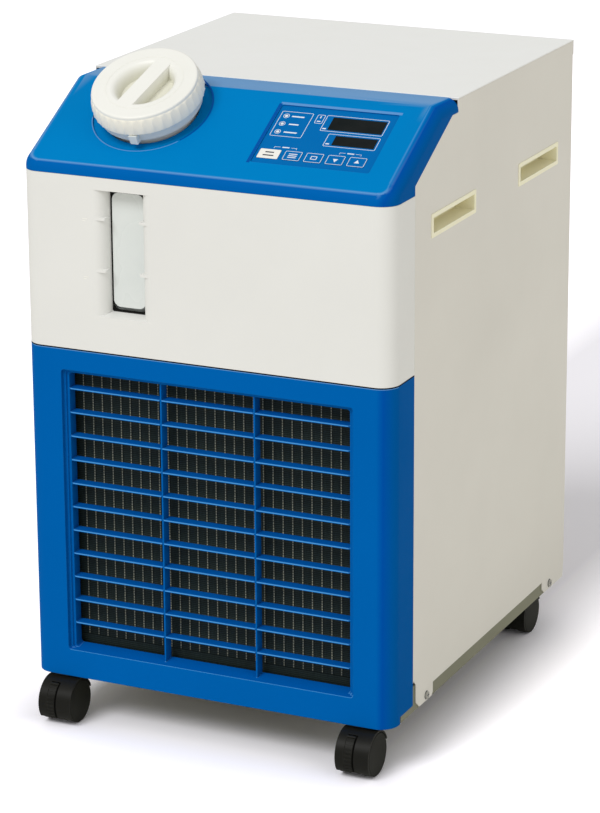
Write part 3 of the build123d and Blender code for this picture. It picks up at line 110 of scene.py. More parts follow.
def addMix(tree, share, first, second):
    node = addNode(tree, "ShaderNodeMix", {"data_type": "RGBA"})
    for index, value in ((0, share), (6, first), (7, second)):
        feed(tree, node.inputs[index], value)
    return node.outputs[2]


def addRange(tree, value, low, high, outLow, outHigh):
    node = addNode(tree, "ShaderNodeMapRange", {"clamp": True})
    for socket, part in zip(node.inputs, (value, low, high, outLow, outHigh)):
        feed(tree, socket, part)
    return node.outputs[0]


def addNoise(tree, where, scale, detail, roughness):
    node = addNode(
        tree, "ShaderNodeTexNoise", Vector=where, Scale=scale, Detail=detail, Roughness=roughness,
    )
    return node.outputs["Fac"]


def addRamp(tree, value, stops):
    ramp = addNode(tree, "ShaderNodeValToRGB", Fac=value)
    elements = ramp.color_ramp.elements
    for index, (spot, colour) in enumerate(stops):
        element = elements[index] if index < 2 else elements.new(spot)
        element.position = spot
        element.color = paint(*colour)
    return ramp.outputs["Color"]


# A node group, the sockets it is fed by and its result; a socket with no start value is a vector
def newGroup(name, inputs, outputs):
    group = bpy.data.node_groups.new(name, "ShaderNodeTree")
    for label, start in inputs.items():
        kind = "NodeSocketVector" if start is None else "NodeSocketFloat"
        socket = group.interface.new_socket(name=label, in_out="INPUT", socket_type=kind)
        if start is not None:
            socket.default_value = start
    for label in outputs:
        group.interface.new_socket(name=label, in_out="OUTPUT", socket_type="NodeSocketFloat")
    source = group.nodes.new("NodeGroupInput")
    return group, list(source.outputs)[:-1], group.nodes.new("NodeGroupOutput")


# Spark-eroded skin of a moulding: fine pebbles, and a slow change of shade
def makeMouldSkin():
    group, (where, grain, spread), result = newGroup(
        "mouldSkin", {"Vector": None, "Grain": 1400.0, "Spread": 7.0}, ("Height", "Shade"),
    )
    pebbles = addNode(group, "ShaderNodeTexVoronoi", {"feature": "SMOOTH_F1"}, Vector=where, Scale=grain)
    height = addMath(
        group, "ADD",
        addMath(group, "MULTIPLY", pebbles.outputs["Distance"], 0.6),
        addMath(group, "MULTIPLY", addNoise(group, where, grain, 3.0, 0.6), 0.4),
    )
    clouds = addNoise(group, where, spread, 4.0, 0.55)
    group.links.new(height, result.inputs["Height"])
    group.links.new(addRange(group, clouds, 0.3, 0.7, 0.0, 1.0), result.inputs["Shade"])
    return group


# Rubbed edges and a painted highlight along them: where the rounded normal leaves the flat one, broken up
# by noise
def makeEdgeWearAndHighlight():
    group, (where, width, breakup), result = newGroup(
        "edgeWearAndHighlight", {"Vector": None, "Width": 0.0015, "Breakup": 90.0}, ("Mask",),
    )
    rounded = addNode(group, "ShaderNodeBevel", {"samples": 4}, Radius=width).outputs["Normal"]
    flat = addNode(group, "ShaderNodeNewGeometry").outputs["Normal"]
    agree = addVectorMath(group, "DOT_PRODUCT", rounded, flat, "Value")
    edge = addRange(group, agree, 0.99, 0.8, 0.0, 1.0)
    patch = addRange(group, addNoise(group, where, breakup, 5.0, 0.65), 0.38, 0.62, 0.15, 1.0)
    group.links.new(addMath(group, "MULTIPLY", edge, patch), result.inputs["Mask"])
    return group


# Dust that settles where a surface looks up
def makeRestingDust():
    group, (where, facing, amount), result = newGroup(
        "restingDust", {"Vector": None, "Normal": None, "Amount": 0.2}, ("Mask",),
    )
    parts = addNode(group, "ShaderNodeSeparateXYZ", Vector=facing)
    upward = addRange(group, parts.outputs["Z"], 0.2, 1.0, 0.0, 1.0)
    patch = addRange(group, addNoise(group, where, 14.0, 6.0, 0.7), 0.35, 0.75, 0.0, 1.0)
    mask = addMath(group, "MULTIPLY", addMath(group, "MULTIPLY", upward, patch), amount)
    group.links.new(mask, result.inputs["Mask"])
    return group


# Lines left by a brush, a rolling mill or a lathe, along the vector's Z
def makeDrawnLines():
    group, (where, fineness, stretch), result = newGroup(
        "drawnLines", {"Vector": None, "Fineness": 900.0, "Stretch": 0.02}, ("Height", "Shade"),
    )
    squeeze = addNode(group, "ShaderNodeCombineXYZ", X=1.0, Y=1.0, Z=stretch).outputs[0]
    pulled = addVectorMath(group, "MULTIPLY", where, squeeze, "Vector")
    lines = addNoise(group, pulled, fineness, 4.0, 0.6)
    group.links.new(lines, result.inputs["Height"])
    group.links.new(addRange(group, lines, 0.3, 0.7, 0.0, 1.0), result.inputs["Shade"])
    return group


# Fine rows, as fins make on a tube: 1 on a row, 0 between, where the finishes paint dark rows of shade
def makeFinRows():
    group, (where, pitch, share), result = newGroup(
        "finRows", {"Vector": None, "Pitch": 2.0, "Share": 0.5}, ("Mask",),
    )
    parts = addNode(group, "ShaderNodeSeparateXYZ", Vector=where)
    wobble = addMath(group, "MULTIPLY", addNoise(group, where, 160.0, 2.0, 0.5), 0.5)
    height = addMath(group, "DIVIDE", addMath(group, "MULTIPLY", parts.outputs["Z"], 1.0 / mm), pitch)
    rise = addMath(group, "FRACT", addMath(group, "ADD", height, wobble))
    low = addMath(group, "SUBTRACT", share, 0.12)
    group.links.new(addRange(group, rise, share, low, 0.0, 1.0), result.inputs["Mask"])
    return group


# Narrow upright stripes at an even pitch across the unit, from a foot upwards: 1 on a stripe
def makeEvenStripes():
    group, (where, pitch, width, foot), result = newGroup(
        "evenStripes", {"Vector": None, "Pitch": 10.0, "Width": 1.0, "Foot": 0.0}, ("Mask",),
    )
    parts = addNode(group, "ShaderNodeSeparateXYZ", Vector=where)
    across = addMath(group, "DIVIDE", addMath(group, "MULTIPLY", parts.outputs["X"], 1.0 / mm), pitch)
    phase = addMath(group, "FRACT", addMath(group, "ADD", across, 0.5))
    away = addMath(group, "ABSOLUTE", addMath(group, "SUBTRACT", phase, 0.5))
    reach = addMath(group, "MULTIPLY", width, 0.5)
    outside = addMath(group, "ADD", reach, 0.25)
    stripe = addRange(group, addMath(group, "MULTIPLY", away, pitch), reach, outside, 1.0, 0.0)
    height = addMath(group, "MULTIPLY", parts.outputs["Z"], 1.0 / mm)
    above = addRange(group, height, foot, addMath(group, "ADD", foot, 1.0), 0.0, 1.0)
    group.links.new(addMath(group, "MULTIPLY", stripe, above), result.inputs["Mask"])
    return group


# Height above the slope in millimetres, turned into 1 at a top level and 0 at a floor
def makeSlopeHeight():
    group, (where, low, high), result = newGroup(
        "slopeHeight", {"Vector": None, "Floor": 0.0, "Top": 1.0}, ("Mask",),
    )
    outward = slopePlace().col[2].xyz.normalized()
    along = addVectorMath(group, "DOT_PRODUCT", where, outward, "Value")
    rise = addMath(group, "SUBTRACT", along, outward.dot(slopePlace().translation))
    height = addMath(group, "MULTIPLY", rise, 1.0 / mm)
    group.links.new(addRange(group, height, low, high, 0.0, 1.0), result.inputs["Mask"])
    return group


effects = {
    "finRows": makeFinRows(),
    "evenStripes": makeEvenStripes(),
    "slopeHeight": makeSlopeHeight(),
    "mouldSkin": makeMouldSkin(),
    "edgeWearAndHighlight": makeEdgeWearAndHighlight(),
    "restingDust": makeRestingDust(),
    "drawnLines": makeDrawnLines(),
}


def placeEffect(tree, name, **sockets):
    return addNode(tree, "ShaderNodeGroup", {"node_tree": effects[name]}, **sockets).outputs


# Blue plastic with painted light, by which way a face looks: deep on upright faces, a lighter painted blue
# on the slope, a pale painted highlight where it rolls over towards the light, and a pale painted
# reflection on flat tops
deepBlue, slopeLitBlue, paleHighlightBlue = (0, 97, 177), (0, 127, 197), (94, 148, 206)
bluePaintedLight = (
    (0.0, deepBlue), (0.66, deepBlue), (0.77, paleHighlightBlue), (0.81, paleHighlightBlue), (0.862, slopeLitBlue),
    (0.955, slopeLitBlue), (0.985, (112, 157, 204)),
)
# Grille slats: painted highlights where their edges turn up towards the light, a darker blue on their tops
grillePaintedLight = (
    (0.0, deepBlue), (0.18, deepBlue), (0.36, (86, 162, 222)), (0.76, (74, 154, 216)),
    (0.94, (0, 92, 176)),
)
# Slat noses: a painted highlight where they turn up towards the light
nosePaintedLight = ((0.0, (24, 116, 200)), (0.20, (92, 168, 228)), (0.72, (84, 162, 222)), (0.94, (0, 92, 176)))
blueTurnPaintedLight = {
    # shares as a face turns to the right: a pale painted highlight on the ridge first, then the colours of
    # the side, darker as painted shade
    "ridgeHighlightShare": ((0.03, (0, 0, 0)), (0.12, (255, 255, 255)), (0.25, (0, 0, 0))),
    "ridgeHighlightUpward": (0.4, 0.8, 0.0, 0.6),
    "sideShadeShare": (0.14, 0.48, 0.0, 1.0),
    "sideShadeColours": ((0.45, (0, 79, 168)), (0.90, (0, 90, 164))),
    "mottle": 0.05,
}


# Paints light and shade into the blue: a colour for each way up, a pale painted highlight on the ridge,
# painted shade on the side, and a little random mottle
def addBluePaintedLight(tree, facing, shade, paintedLight):
    look = blueTurnPaintedLight
    parts = addNode(tree, "ShaderNodeSeparateXYZ", Vector=facing)
    aside, upward = parts.outputs["X"], parts.outputs["Z"]
    ridge = addMath(
        tree, "MULTIPLY",
        addRamp(tree, aside, look["ridgeHighlightShare"]), addRange(tree, upward, *look["ridgeHighlightUpward"]),
    )
    front = addMix(tree, ridge, addRamp(tree, upward, paintedLight), paint(*paleHighlightBlue))
    sideways = addRange(tree, aside, *look["sideShadeShare"])
    both = addMix(tree, sideways, front, addRamp(tree, aside, look["sideShadeColours"]))
    return addMix(tree, addMath(tree, "MULTIPLY", shade, look["mottle"]), both, paint(0, 0, 0))


# What a finish has where it says nothing else, in millimetres and chart colours
plainLook = {
    "grain": 1500.0, "depth": 0.02, "bump": 0.4, "rough": 0.42, "roughSpread": 0.06, "specular": 0.3,
    "metallic": 0.0, "edgeShare": 0.3, "edgeWidth": 1.2, "dust": 0.02, "dustColour": (205, 200, 190),
    "dustRough": 0.5, "innerReach": 4.0,
}


# One finish: skin or drawn lines, rubbed edges with a painted highlight, painted light and shade where a
# finish asks for it, and dust feed the shader's colour, roughness and normal
def makeFinish(name, ownLook):
    look = {**plainLook, **ownLook}
    material = bpy.data.materials.new(name)
    material.use_nodes = True
    tree = material.node_tree
    shader = tree.nodes["Principled BSDF"]
    space = addNode(tree, "ShaderNodeTexCoord")
    where, facing = space.outputs["Object"], space.outputs["Normal"]
    bump = addNode(tree, "ShaderNodeBump", Distance=look["depth"] * mm, Strength=look["bump"])
    if "round" in look:
        soft = addNode(tree, "ShaderNodeBevel", {"samples": 6}, Radius=look["round"] * mm)
        facing = soft.outputs["Normal"]
        tree.links.new(facing, bump.inputs["Normal"])
    if "lines" in look:
        skin = placeEffect(
            tree, "drawnLines", Vector=where, Fineness=look["lines"], Stretch=look["stretch"],
        )
    else:
        skin = placeEffect(tree, "mouldSkin", Vector=where, Grain=look["grain"])
    # Blue finishes take their colour with painted light and shade, by which way the face looks
    if "paintedLight" in look:
        colour = addBluePaintedLight(tree, facing, skin["Shade"], look["paintedLight"])
    else:
        colour = addMix(tree, skin["Shade"], paint(*look["colour"]), paint(*look["second"]))
    # Painted shade in dark rows across the metal, between the rows that the fins make
    if "rows" in look:
        pitch, share = look["rows"]
        row = placeEffect(tree, "finRows", Vector=where, Pitch=pitch, Share=share)
        colour = addMix(tree, row["Mask"], paint(*look["rowShade"]), colour)
    # Painted shade on each side of the tubes' narrow stripes and below their foot
    if "stripes" in look:
        pitch, width, foot = look["stripes"]
        stripe = placeEffect(tree, "evenStripes", Vector=where, Pitch=pitch, Width=width, Foot=foot)
        colour = addMix(tree, stripe["Mask"], paint(*look["between"]), colour)
    # Painted shade: a darker colour low in the cap's finger pockets, by height above the slope
    if "pocketPaintedShade" in look:
        low, high, pocketShadeColour = look["pocketPaintedShade"]
        raised = placeEffect(tree, "slopeHeight", Vector=where, Floor=low, Top=high)
        colour = addMix(tree, raised["Mask"], paint(*pocketShadeColour), colour)
    # Edge colour: wear and a painted highlight along the edges
    if "edge" in look:
        wearAndHighlight = placeEffect(tree, "edgeWearAndHighlight", Vector=where, Width=look["edgeWidth"] * mm)["Mask"]
        wearAndHighlightShare = addMath(tree, "MULTIPLY", wearAndHighlight, look["edgeShare"])
        colour = addMix(tree, wearAndHighlightShare, colour, paint(*look["edge"]))
    dust = placeEffect(tree, "restingDust", Vector=where, Normal=facing, Amount=look["dust"])["Mask"]
    colour = addMix(tree, dust, colour, paint(*look["dustColour"]))
    rough, spread = look["rough"], look["roughSpread"]
    shine = addRange(tree, skin["Shade"], 0.0, 1.0, rough - spread, rough + spread)
    shine = addMath(tree, "ADD", shine, addMath(tree, "MULTIPLY", dust, look["dustRough"]))
    tree.links.new(skin["Height"], bump.inputs["Height"])
    for label, value in (
        ("Base Color", colour), ("Roughness", shine), ("Normal", bump.outputs["Normal"]),
        ("Metallic", look["metallic"]), ("Specular IOR Level", look["specular"]),
    ):
        feed(tree, shader.inputs[label], value)
    if "inner" in look:
        shader.inputs["Subsurface Weight"].default_value = look["inner"]
        shader.inputs["Subsurface Radius"].default_value = (look["innerReach"] * mm,) * 3
    return material


# What finishes of one kind share
paintSkin = {"grain": 700.0, "bump": 0.35}
# the blue's pale edge colour is wear and a painted highlight along edges
blueSkin = {
    "edge": (70, 150, 215), "edgeShare": 0.2, "depth": 0.03, "bump": 0.5, "specular": 0.005, "dust": 0.0,
}
filmSkin = {"grain": 2600.0, "depth": 0.01, "bump": 0.3}
blueFilmSkin = {**filmSkin, "colour": (0, 107, 179), "second": (0, 103, 175), "specular": 0.02, "dust": 0.0}
shadeSkin = {"depth": 0.01, "bump": 0.2, "rough": 0.7, "specular": 0.02, "dust": 0.0}
inkSkin = {"grain": 3200.0, "depth": 0.004, "bump": 0.2, "rough": 0.5}
lensSkin = {"grain": 3000.0, "depth": 0.004, "bump": 0.1, "rough": 0.2}
capSkin = {"edge": (250, 250, 246), "grain": 1200.0, "bump": 0.35, "rough": 0.38, "inner": 0.08}
machinePaint = {"grain": 800.0, "depth": 0.03, "specular": 0.5, "dust": 0.06}
rimSkin = {"rough": 0.45, "dust": 0.0}
bareMetal = {"depth": 0.01, "bump": 0.3, "metallic": 1.0}

# Every finish on the unit, with the colours of the paint chart
finishes = {
    "whitePaint": {
        "colour": (249, 250, 249), "second": (245, 246, 244), "edge": (252, 252, 250), **paintSkin,
    },
    # Painted shade: a darker, warmer copy of the white paint, for the side and rear panels
    "sidePaintShaded": {
        "colour": (228, 225, 217), "second": (224, 221, 213), "edge": (240, 239, 232), **paintSkin,
        "specular": 0.2,
    },
    "whiteMoulding": {
        "colour": (231, 231, 228), "second": (227, 227, 224), "edge": (243, 243, 240), "rough": 0.48,
    },
    # Blue mouldings, grille and slat noses: colour by facing, with painted light and shade
    "blueMoulding": {"paintedLight": bluePaintedLight, **blueSkin},
    "blueGrille": {"paintedLight": grillePaintedLight, **blueSkin, "round": 1.0},
    "noseBlue": {"paintedLight": nosePaintedLight, "specular": 0.01, "dust": 0.0},
    "blueFilm": {**blueFilmSkin, "edge": (30, 125, 195), "rough": 0.34},
    "keyBlue": {**blueFilmSkin, "edge": (40, 130, 200), "rough": 0.36},
    "keyWhite": {
        "colour": (243, 242, 236), "second": (238, 237, 230), "edge": (250, 250, 247), **filmSkin,
        "rough": 0.4, "dust": 0.01,
    },
    # Dark bands of painted shade, for the front seam and for the slot beside the castors' brake lever
    "seamShade": {"colour": (10, 18, 40), "second": (6, 12, 30), **shadeSkin},
    "castorShade": {"colour": (8, 8, 7), "second": (5, 5, 4), **shadeSkin, "grain": 1300.0},
    # Painted highlight and painted shade for the keypad rim, the front seam and the cap's dish
    "rimPaintedHighlight": {
        "colour": (96, 150, 208), "second": (88, 143, 203), "edge": (120, 168, 216), **rimSkin,
        "specular": 0.05,
    },
    "rimShade": {
        "colour": (0, 84, 166), "second": (0, 78, 160), "edge": (0, 84, 166), **rimSkin,
        "specular": 0.03,
    },
    "printWhite": {"colour": (238, 243, 248), "second": (222, 232, 243), **inkSkin},
    "darkPrintAndShade": {"colour": (70, 76, 86), "second": (56, 62, 72), **inkSkin},
    "darkLens": {
        "colour": (17, 25, 27), "second": (13, 19, 21), "edge": (50, 56, 62), **lensSkin, "specular": 0.05,
    },
    "lampLens": {
        "colour": (235, 240, 245), "second": (222, 230, 238), "edge": (250, 250, 250), **lensSkin,
    },
    "capPlastic": {"colour": (243, 243, 237), "second": (238, 238, 231), **capSkin},
    # Cap body: painted shade darkens its finger pockets
    "capBody": {
        "colour": (243, 243, 238), "second": (238, 238, 232), **capSkin,
        "pocketPaintedShade": (21.0, 32.5, (228, 227, 213)),
    },
    # A warmer copy of the cap plastic for the fluted skirt: painted light that offsets the blue light
    # thrown up from the slope
    "capSkirt": {
        **capSkin, "colour": (250, 246, 234), "second": (246, 242, 229), "edge": (253, 251, 244),
        "rough": 0.42, "specular": 0.15, "inner": 0.05,
    },
    "tankPlastic": {
        "colour": (226, 230, 228), "second": (216, 222, 221), "edge": (240, 242, 240), "grain": 500.0,
        "depth": 0.05, "bump": 0.3, "rough": 0.3, "specular": 0.45, "inner": 0.25, "dust": 0.01,
    },
    "creamPlastic": {
        "colour": (255, 250, 221), "second": (253, 246, 213), "edge": (255, 253, 238), "grain": 1300.0,
        "bump": 0.35, "dust": 0.0, "inner": 0.3,
    },
    "greyPaint": {
        "colour": (132, 132, 110), "second": (122, 122, 102), "edge": (160, 160, 140), "grain": 900.0,
        "rough": 0.46, "specular": 0.4, "dust": 0.06,
    },
    "castorPlastic": {
        "colour": (25, 25, 21), "second": (19, 19, 16), "edge": (70, 70, 64), "edgeShare": 0.4,
        "grain": 1300.0, "depth": 0.04, "bump": 0.5, "specular": 0.14, "dust": 0.01, "round": 0.35,
    },
    "wheelTread": {
        "colour": (29, 30, 25), "second": (23, 24, 20), "edge": (66, 66, 60), "edgeShare": 0.35,
        "grain": 1100.0, "depth": 0.05, "bump": 0.5, "rough": 0.5, "specular": 0.12, "dust": 0.01,
        "round": 0.35,
    },
    "blackPlastic": {
        "colour": (30, 31, 32), "second": (24, 25, 26), "edge": (70, 72, 74), "grain": 1300.0,
        "depth": 0.03, "bump": 0.5, "rough": 0.5, "specular": 0.4, "dust": 0.05,
    },
    "blackPaint": {
        "colour": (26, 26, 28), "second": (20, 20, 22), "edge": (80, 80, 84), **machinePaint, "rough": 0.3,
    },
    "pumpPaint": {
        "colour": (86, 98, 112), "second": (78, 90, 104), "edge": (150, 156, 162), **machinePaint,
        "rough": 0.4,
    },
    "zincSteel": {
        "colour": (168, 170, 172), "second": (146, 149, 153), "edge": (205, 206, 208), **bareMetal,
        "lines": 420.0, "stretch": 0.12, "rough": 0.36,
    },
    "stainless": {
        "colour": (188, 189, 190), "second": (170, 172, 174), "edge": (220, 220, 220), **bareMetal,
        "lines": 1200.0, "stretch": 0.03, "rough": 0.3,
    },
    "copper": {
        "colour": (198, 128, 88), "second": (172, 104, 70), "edge": (224, 160, 120), **bareMetal,
        "lines": 700.0, "stretch": 0.1, "rough": 0.32,
    },
    "brass": {
        "colour": (206, 178, 112), "second": (184, 154, 92), "edge": (230, 208, 150), **bareMetal,
        "lines": 900.0, "stretch": 0.3, "rough": 0.28,
    },
    "screwSteel": {
        "colour": (196, 196, 192), "second": (176, 176, 172), "edge": (225, 225, 222), **bareMetal,
        "lines": 1200.0, "stretch": 0.5, "rough": 0.26,
    },
    # Condenser tubes: painted shade on their sides, below their foot and across them in rows
    "tubeMetal": {
        "colour": (158, 158, 140), "second": (118, 120, 106), "lines": 1400.0, "stretch": 0.05,
        "rough": 0.5, "specular": 0.2, "rows": (2.6, 0.66), "rowShade": (72, 78, 70),
        "stripes": (9.89, 0.85, 85.0), "between": (28, 37, 36),
    },
    # Fins: the metal painted dark as the shade they lie in, darker still in rows
    "finMetalShaded": {
        "colour": (45, 58, 55), "second": (30, 41, 40), "lines": 900.0, "stretch": 0.1,
        "rough": 0.6, "specular": 0.15, "rows": (1.9, 0.6), "rowShade": (21, 29, 28),
    },
    "hoseRubber": {
        "colour": (36, 36, 38), "second": (29, 29, 31), "edge": (60, 60, 62), "grain": 600.0,
        "depth": 0.05, "rough": 0.6,
    },
    "greenPlastic": {
        "colour": (44, 120, 72), "second": (36, 108, 62), "edge": (90, 160, 110), "grain": 1300.0,
        "rough": 0.45, "specular": 0.4,
    },
    "board": {
        "colour": (22, 92, 52), "second": (18, 80, 44), "edge": (120, 140, 90), "grain": 900.0,
        "bump": 0.3, "rough": 0.35, "specular": 0.5,
    },
    # Seal rubber, also used as painted shade round the tank's bulge
    "sealRubberAndShade": {
        "colour": (20, 20, 18), "second": (15, 15, 14), "edge": (40, 40, 38), "grain": 900.0,
        "rough": 0.7, "specular": 0.1,
    },
}
materials = {name: makeFinish(name, look) for name, look in finishes.items()}
print("finishes:", len(materials))

# The finish that each record slot is dressed in
slotFinish = {
    "grey_paint": "greyPaint", "zinc_steel": "zincSteel", "white_paint": "whitePaint",
    "white_plastic": "whiteMoulding", "blue_plastic": "blueMoulding", "overlay_film": "blueFilm",
    "dark_lens": "darkLens", "lamp_lens": "lampLens", "board": "board",
    "natural_plastic": "tankPlastic", "fin_metal": "finMetalShaded", "aluminium": "tubeMetal",
    "black_plastic": "blackPlastic", "black_paint": "blackPaint", "pump_metal": "pumpPaint",
    "stainless": "stainless", "copper": "copper", "hose_rubber": "hoseRubber", "brass": "brass",
    "green_plastic": "greenPlastic", "screw_steel": "screwSteel", "key_white": "keyWhite",
    "key_blue": "keyBlue", "seal_rubber": "sealRubberAndShade", "cap_plastic": "capPlastic",
    "cream_plastic": "creamPlastic", "castor_black": "castorPlastic", "wheel_black": "wheelTread",
}
# Nodes whose finish isn't their slot's; the side and rear panels wear a copy of the white paint made darker
# as painted shade
ownFinish = {
    "tank_cap": "capBody", "front_grille": "blueGrille", "left_side_panel": "sidePaintShaded",
    "right_side_panel": "sidePaintShaded", "rear_panel": "sidePaintShaded",
}
nodeSlot = {part["node"]: part["material_slot"] for part in frame["record"]["subparts"]}


# Geometry nodes: shade round faces smooth and keep true edges sharp
sharpAngle = math.radians(32)


def makeSoftShading():
    group = bpy.data.node_groups.new("softShading", "GeometryNodeTree")
    for inOut in ("INPUT", "OUTPUT"):
        group.interface.new_socket(name="Geometry", in_out=inOut, socket_type="NodeSocketGeometry")
    source, result = group.nodes.new("NodeGroupInput"), group.nodes.new("NodeGroupOutput")
    angle = addNode(group, "GeometryNodeInputMeshEdgeAngle").outputs["Unsigned Angle"]
    smooth = addNode(
        group, "GeometryNodeSetShadeSmooth", {"domain": "FACE"}, Geometry=source.outputs[0],
    )
    sharp = addNode(
        group, "GeometryNodeSetShadeSmooth", {"domain": "EDGE"}, Geometry=smooth.outputs[0],
        Selection=addMath(group, "GREATER_THAN", angle, sharpAngle), Shade_Smooth=False,
    )
    group.links.new(sharp.outputs[0], result.inputs[0])
    return group


softShading = makeSoftShading()


def addModifier(piece, name, kind, **settings):
    modifier = piece.modifiers.new(name, kind)
    for label, value in settings.items():
        setattr(modifier, label, value)


def shadeSoftly(piece):
    addModifier(piece, "shade", "NODES", node_group=softShading)


# Width of the rounded edge on each piece that shows, in millimetres
edgeRound = {
    "lid": 0.5, "left_side_panel": 0.3, "right_side_panel": 0.3,
    "upper_front_panel": 0.5, "control_cowl": 0.4, "base_pan": 0.3, "tank_cap": 0.35,
    "key_run": 0.12, "key_menu": 0.12, "key_select": 0.12, "key_down": 0.12, "key_up": 0.12,
    "display_overlay": 0.08, "display_windows": 0.1, "rear_panel": 0.25,
}


def dressNode(name):
    piece = nodes[name]
    finish = ownFinish.get(name) or slotFinish[nodeSlot[name]]
    piece.data.materials.clear()
    piece.data.materials.append(materials[finish])
    addModifier(piece, "join", "WELD", merge_threshold=0.00001)
    if name in edgeRound:
        addModifier(
            piece, "flatten", "DECIMATE", decimate_type="DISSOLVE", angle_limit=math.radians(0.4),
        )
        addModifier(
            piece, "roundEdges", "BEVEL", width=edgeRound[name] * mm, segments=2, limit_method="ANGLE",
            angle_limit=sharpAngle, miter_outer="MITER_ARC", use_clamp_overlap=True,
        )
    shadeSoftly(piece)
    addModifier(piece, "shadeWeight", "WEIGHTED_NORMAL", keep_sharp=True, weight=80)


for nodeName in nodes:
    dressNode(nodeName)
print("nodes dressed")


# A finished bmesh becomes a piece that rides on a body and wears the finish it is given
def placePiece(name, shape, body, finish):
    mesh = bpy.data.meshes.new(name)
    bmesh.ops.recalc_face_normals(shape, faces=shape.faces)
    shape.to_mesh(mesh)
    shape.free()
    mesh.materials.append(materials[finish])
    piece = bpy.data.objects.new(name, mesh)
    bpy.context.scene.collection.objects.link(piece)
    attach(piece, body)
    return piece


# Flat shapes, for print and for painted highlight and shade, drawn in a place's own millimetres
def roundedFace(shape, x, y, wide, high, rounding, place, steps=4):
    made = bmesh.ops.create_grid(
        shape, x_segments=1, y_segments=1, size=0.5,
        matrix=place @ Matrix.Translation((x, y, 0)) @ Matrix.Diagonal((wide, high, 1, 1)),
    )
    face = made["verts"][0].link_faces[0]
    if rounding > 0:
        rounded = bmesh.ops.bevel(
            shape, geom=made["verts"], offset=rounding * mm, offset_type="OFFSET", segments=steps,
            profile=0.5, affect="VERTICES", material=-1, clamp_overlap=True,
        )
        face = rounded["verts"][0].link_faces[0]
    return face


# Cuts the middle out of a flat face, so that a border of a line's width is left
def leaveBorder(shape, face, line):
    bmesh.ops.inset_region(
        shape, faces=[face], thickness=line * mm, use_boundary=True, use_even_offset=True,
    )
    bmesh.ops.delete(shape, geom=[face], context="FACES")


def printFrame(shape, x, y, wide, high, line, rounding, place):
    leaveBorder(shape, roundedFace(shape, x, y, wide, high, rounding, place), line)


def printBar(shape, x, y, wide, high, place):
    roundedFace(shape, x, y, wide, high, 0, place)


def printDisc(shape, x, y, radius, place, corners=36, turn=0.0):
    spot = place @ Matrix.Translation((x, y, 0)) @ Matrix.Rotation(math.radians(turn), 4, "Z")
    made = bmesh.ops.create_circle(shape, cap_ends=True, segments=corners, radius=radius, matrix=spot)
    return made["verts"][0].link_faces[0]


def printRing(shape, x, y, radius, line, place, corners=36):
    leaveBorder(shape, printDisc(shape, x, y, radius, place, corners), line)


def finishFlatPiece(name, shape, body, finish="printWhite", thick=0.03):
    piece = placePiece(name, shape, body, finish)
    addModifier(piece, "ink", "SOLIDIFY", thickness=thick * mm, offset=1.0)
    return piece


# Print on the display overlay: frames, brackets, lamp rings and short bars in place of words
overlayPrint = {
    "lift": 0.02, "line": 0.5, "rounding": 1.4,
    "lampX": 46.0, "lampRows": (74.5, 85.6, 96.5), "lampRing": 3.0,
    "barRows": ((58.6, 13.0), (57.6, 9.6), (57.8, 12.4)), "barHigh": 1.6,
    # middle, width and height
    "frames": (
        (55.7, 85.6, 31.6, 34.4), (79.8, 96.2, 7.8, 12.0), (116.2, 91.8, 61.8, 21.6),
        (121.7, 69.5, 51.4, 17.0),
    ),
    "signs": (
        (79.6, 99.0, 1.0, 3.0), (79.6, 93.2, 3.6, 1.3), (88.6, 84.2, 3.6, 1.5), (99.6, 64.4, 3.6, 1.5),
    ),
    # brackets: middle and width of each, then its parts, as shares of that width or in millimetres
    "brackets": ((62.6, 22.0), (126.9, 21.0)), "bracketRow": 53.2, "bracketRise": 0.9, "bracketLine": 0.4,
    "legHigh": 2.2, "armPlace": 0.37, "armShare": 0.26, "middleShare": 0.32, "middleHigh": 1.3,
}


def makeOverlayPrint():
    look = overlayPrint
    place = slopePlace(casing["overlayTop"] + look["lift"])
    shape = bmesh.new()
    for x, s, wide, high in look["frames"]:
        printFrame(shape, x, s, wide, high, look["line"], look["rounding"], place)
    for x, s, wide, high in look["signs"]:
        printBar(shape, x, s, wide, high, place)
    for row, (barX, barWide) in zip(look["lampRows"], look["barRows"]):
        printRing(shape, look["lampX"], row, look["lampRing"], look["line"], place)
        printBar(shape, barX, row, barWide, look["barHigh"], place)
    low, line = look["bracketRow"], look["bracketLine"]
    top = low + look["bracketRise"]
    for middle, wide in look["brackets"]:
        for side in (-1, 1):
            armX = middle + side * wide * look["armPlace"]
            printBar(shape, armX, top, wide * look["armShare"], line, place)
            printBar(shape, middle + side * wide / 2, low, line, look["legHigh"], place)
        printBar(shape, middle, top, wide * look["middleShare"], look["middleHigh"], place)
    finishFlatPiece("overlayPrint", shape, "casing")


makeOverlayPrint()

# Rim of the keypad recess: flat strips paint a highlight on its draught above and shade on its left
padRim = {
    "left": 36.3, "right": 154.2, "low": 29.8, "high": 110.7,
    "wide": 3.2, "rise": 0.02, "thick": 0.06,
}


def makePadRim(name, x, s, wide, high, finish):
    shape = bmesh.new()
    printBar(shape, x, s, wide, high, slopePlace(padRim["rise"]))
    finishFlatPiece(name, shape, "casing", finish, padRim["thick"])


rimWide = padRim["wide"]
rimMiddle, rimSpan = (padRim["left"] + padRim["right"]) / 2, padRim["right"] - padRim["left"]
rimRow, rimRise = (padRim["low"] + padRim["high"]) / 2, padRim["high"] - padRim["low"]
makePadRim("padRimTop", rimMiddle, padRim["high"] + rimWide / 2, rimSpan + rimWide, rimWide, "rimPaintedHighlight")
makePadRim("padRimLeft", padRim["left"] - rimWide / 2, rimRow, rimWide, rimRise + 2.0, "rimShade")

